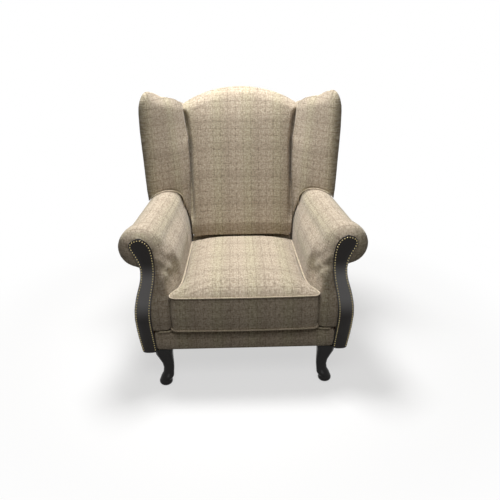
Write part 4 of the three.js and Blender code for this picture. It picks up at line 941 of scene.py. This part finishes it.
# Frame, springs and mechanism are shown as the solids they are: look, then slot, then nodes by the start of their name
carried = {
    "sandedBeech": ("beech", ["front_post", "rear_post", "side_rail", "arm_rail", "back_stile", "seat_side_rail",
                              "mid_stretcher", "rear_stretcher", "back_lower_rail", "back_top_rail", "seat_front_rail",
                              "seat_rear_rail"]),
    "rawPlywood": ("plywood", ["wing_board", "footrest_board"]),
    "blackStovedSteel": ("mechanism_steel", ["seat_plate", "rear_link", "front_link", "footrest_bracket"]),
    "zincPlatedSteel": ("zinc_steel", ["slide_channel", "seat_spring", "back_spring"]),
}
for look, (slot, stems) in carried.items():
    for nodeName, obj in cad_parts.items():
        if any(nodeName.startswith(stem) for stem in stems):
            obj.data.materials.clear()
            obj.data.materials.append(looks[look])

deckPiece = {"voxelMm": 3.0, "smoothing": 2}
deckSkin = skinCopy("seat_deck", deckPiece["voxelMm"], deckPiece["smoothing"])
deck = linkMesh("seat_platform", deckSkin, "platform", "seat")
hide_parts("seat_deck")
print("frame and deck made")


# A pale floor that keeps the shadow near the chair and turns to plain white away from it, and a white surround.
# Only light that goes straight or mirrored to the eye meets the white, so lamps and a soft tone light the chair.
def makeStage(light):
    mesh = bpy.data.meshes.new("floor")
    reach = light["floorReachM"]
    corners = [(-reach, -reach, 0), (reach, -reach, 0), (reach, reach, 0), (-reach, reach, 0)]
    mesh.from_pydata(corners, [], [(0, 1, 2, 3)])
    obj = bpy.data.objects.new("floor", mesh)
    scene.collection.objects.link(obj)
    material, tree = newMaterial("paleFloor")
    path = addNode(tree, "ShaderNodeLightPath")
    seen = calc(tree, "MAXIMUM", (path, "Is Camera Ray"), (path, "Is Glossy Ray"))
    seen = calc(tree, "MAXIMUM", seen, (path, "Is Transmission Ray"))
    dull = addNode(tree, "ShaderNodeBsdfDiffuse", {}, Color=(light["floorGrey"],) * 3 + (1.0,))
    pale = addNode(tree, "ShaderNodeBsdfDiffuse", {}, Color=(light["floorWhite"],) * 3 + (1.0,))
    glow = addNode(tree, "ShaderNodeEmission", {}, Color=(1, 1, 1, 1), Strength=1.0)
    where = addNode(tree, "ShaderNodeTexCoord")
    away = addNode(tree, "ShaderNodeVectorMath", {"operation": "LENGTH"}, i0=(where, "Object"))
    far = addNode(tree, "ShaderNodeMapRange", {"interpolation_type": "SMOOTHSTEP"}, Value=(away, "Value"),
                  i1=light["whiteFromM"], i2=light["whiteToM"], i3=light["whiteNear"], i4=1.0)
    shown = addNode(tree, "ShaderNodeMixShader", {}, i0=(far, 0), i1=(pale, 0), i2=(glow, 0))
    floor = addNode(tree, "ShaderNodeMixShader", {}, i0=seen, i1=(dull, 0), i2=(shown, 0))
    addNode(tree, "ShaderNodeOutputMaterial", Surface=(floor, 0))
    mesh.materials.append(material)
    world = bpy.data.worlds.new("studio")
    scene.world = world
    world.use_nodes = True
    tree = world.node_tree
    tree.nodes.clear()
    path = addNode(tree, "ShaderNodeLightPath")
    seen = calc(tree, "MAXIMUM", (path, "Is Camera Ray"), (path, "Is Glossy Ray"))
    seen = calc(tree, "MAXIMUM", seen, (path, "Is Transmission Ray"))
    soft = addNode(tree, "ShaderNodeBackground", {}, Color=light["worldTone"] + (1.0,), Strength=1.0)
    white = addNode(tree, "ShaderNodeBackground", {}, Color=(1, 1, 1, 1), Strength=1.0)
    surround = addNode(tree, "ShaderNodeMixShader", {}, i0=seen, i1=(soft, 0), i2=(white, 0))
    addNode(tree, "ShaderNodeOutputWorld", Surface=(surround, 0))


makeCamera(camera)
makeLamp("ceilingLamp", lighting["ceiling"])
makeLamp("frontLamp", lighting["front"])
makeStage(lighting)
scene.view_settings.view_transform = "Standard"
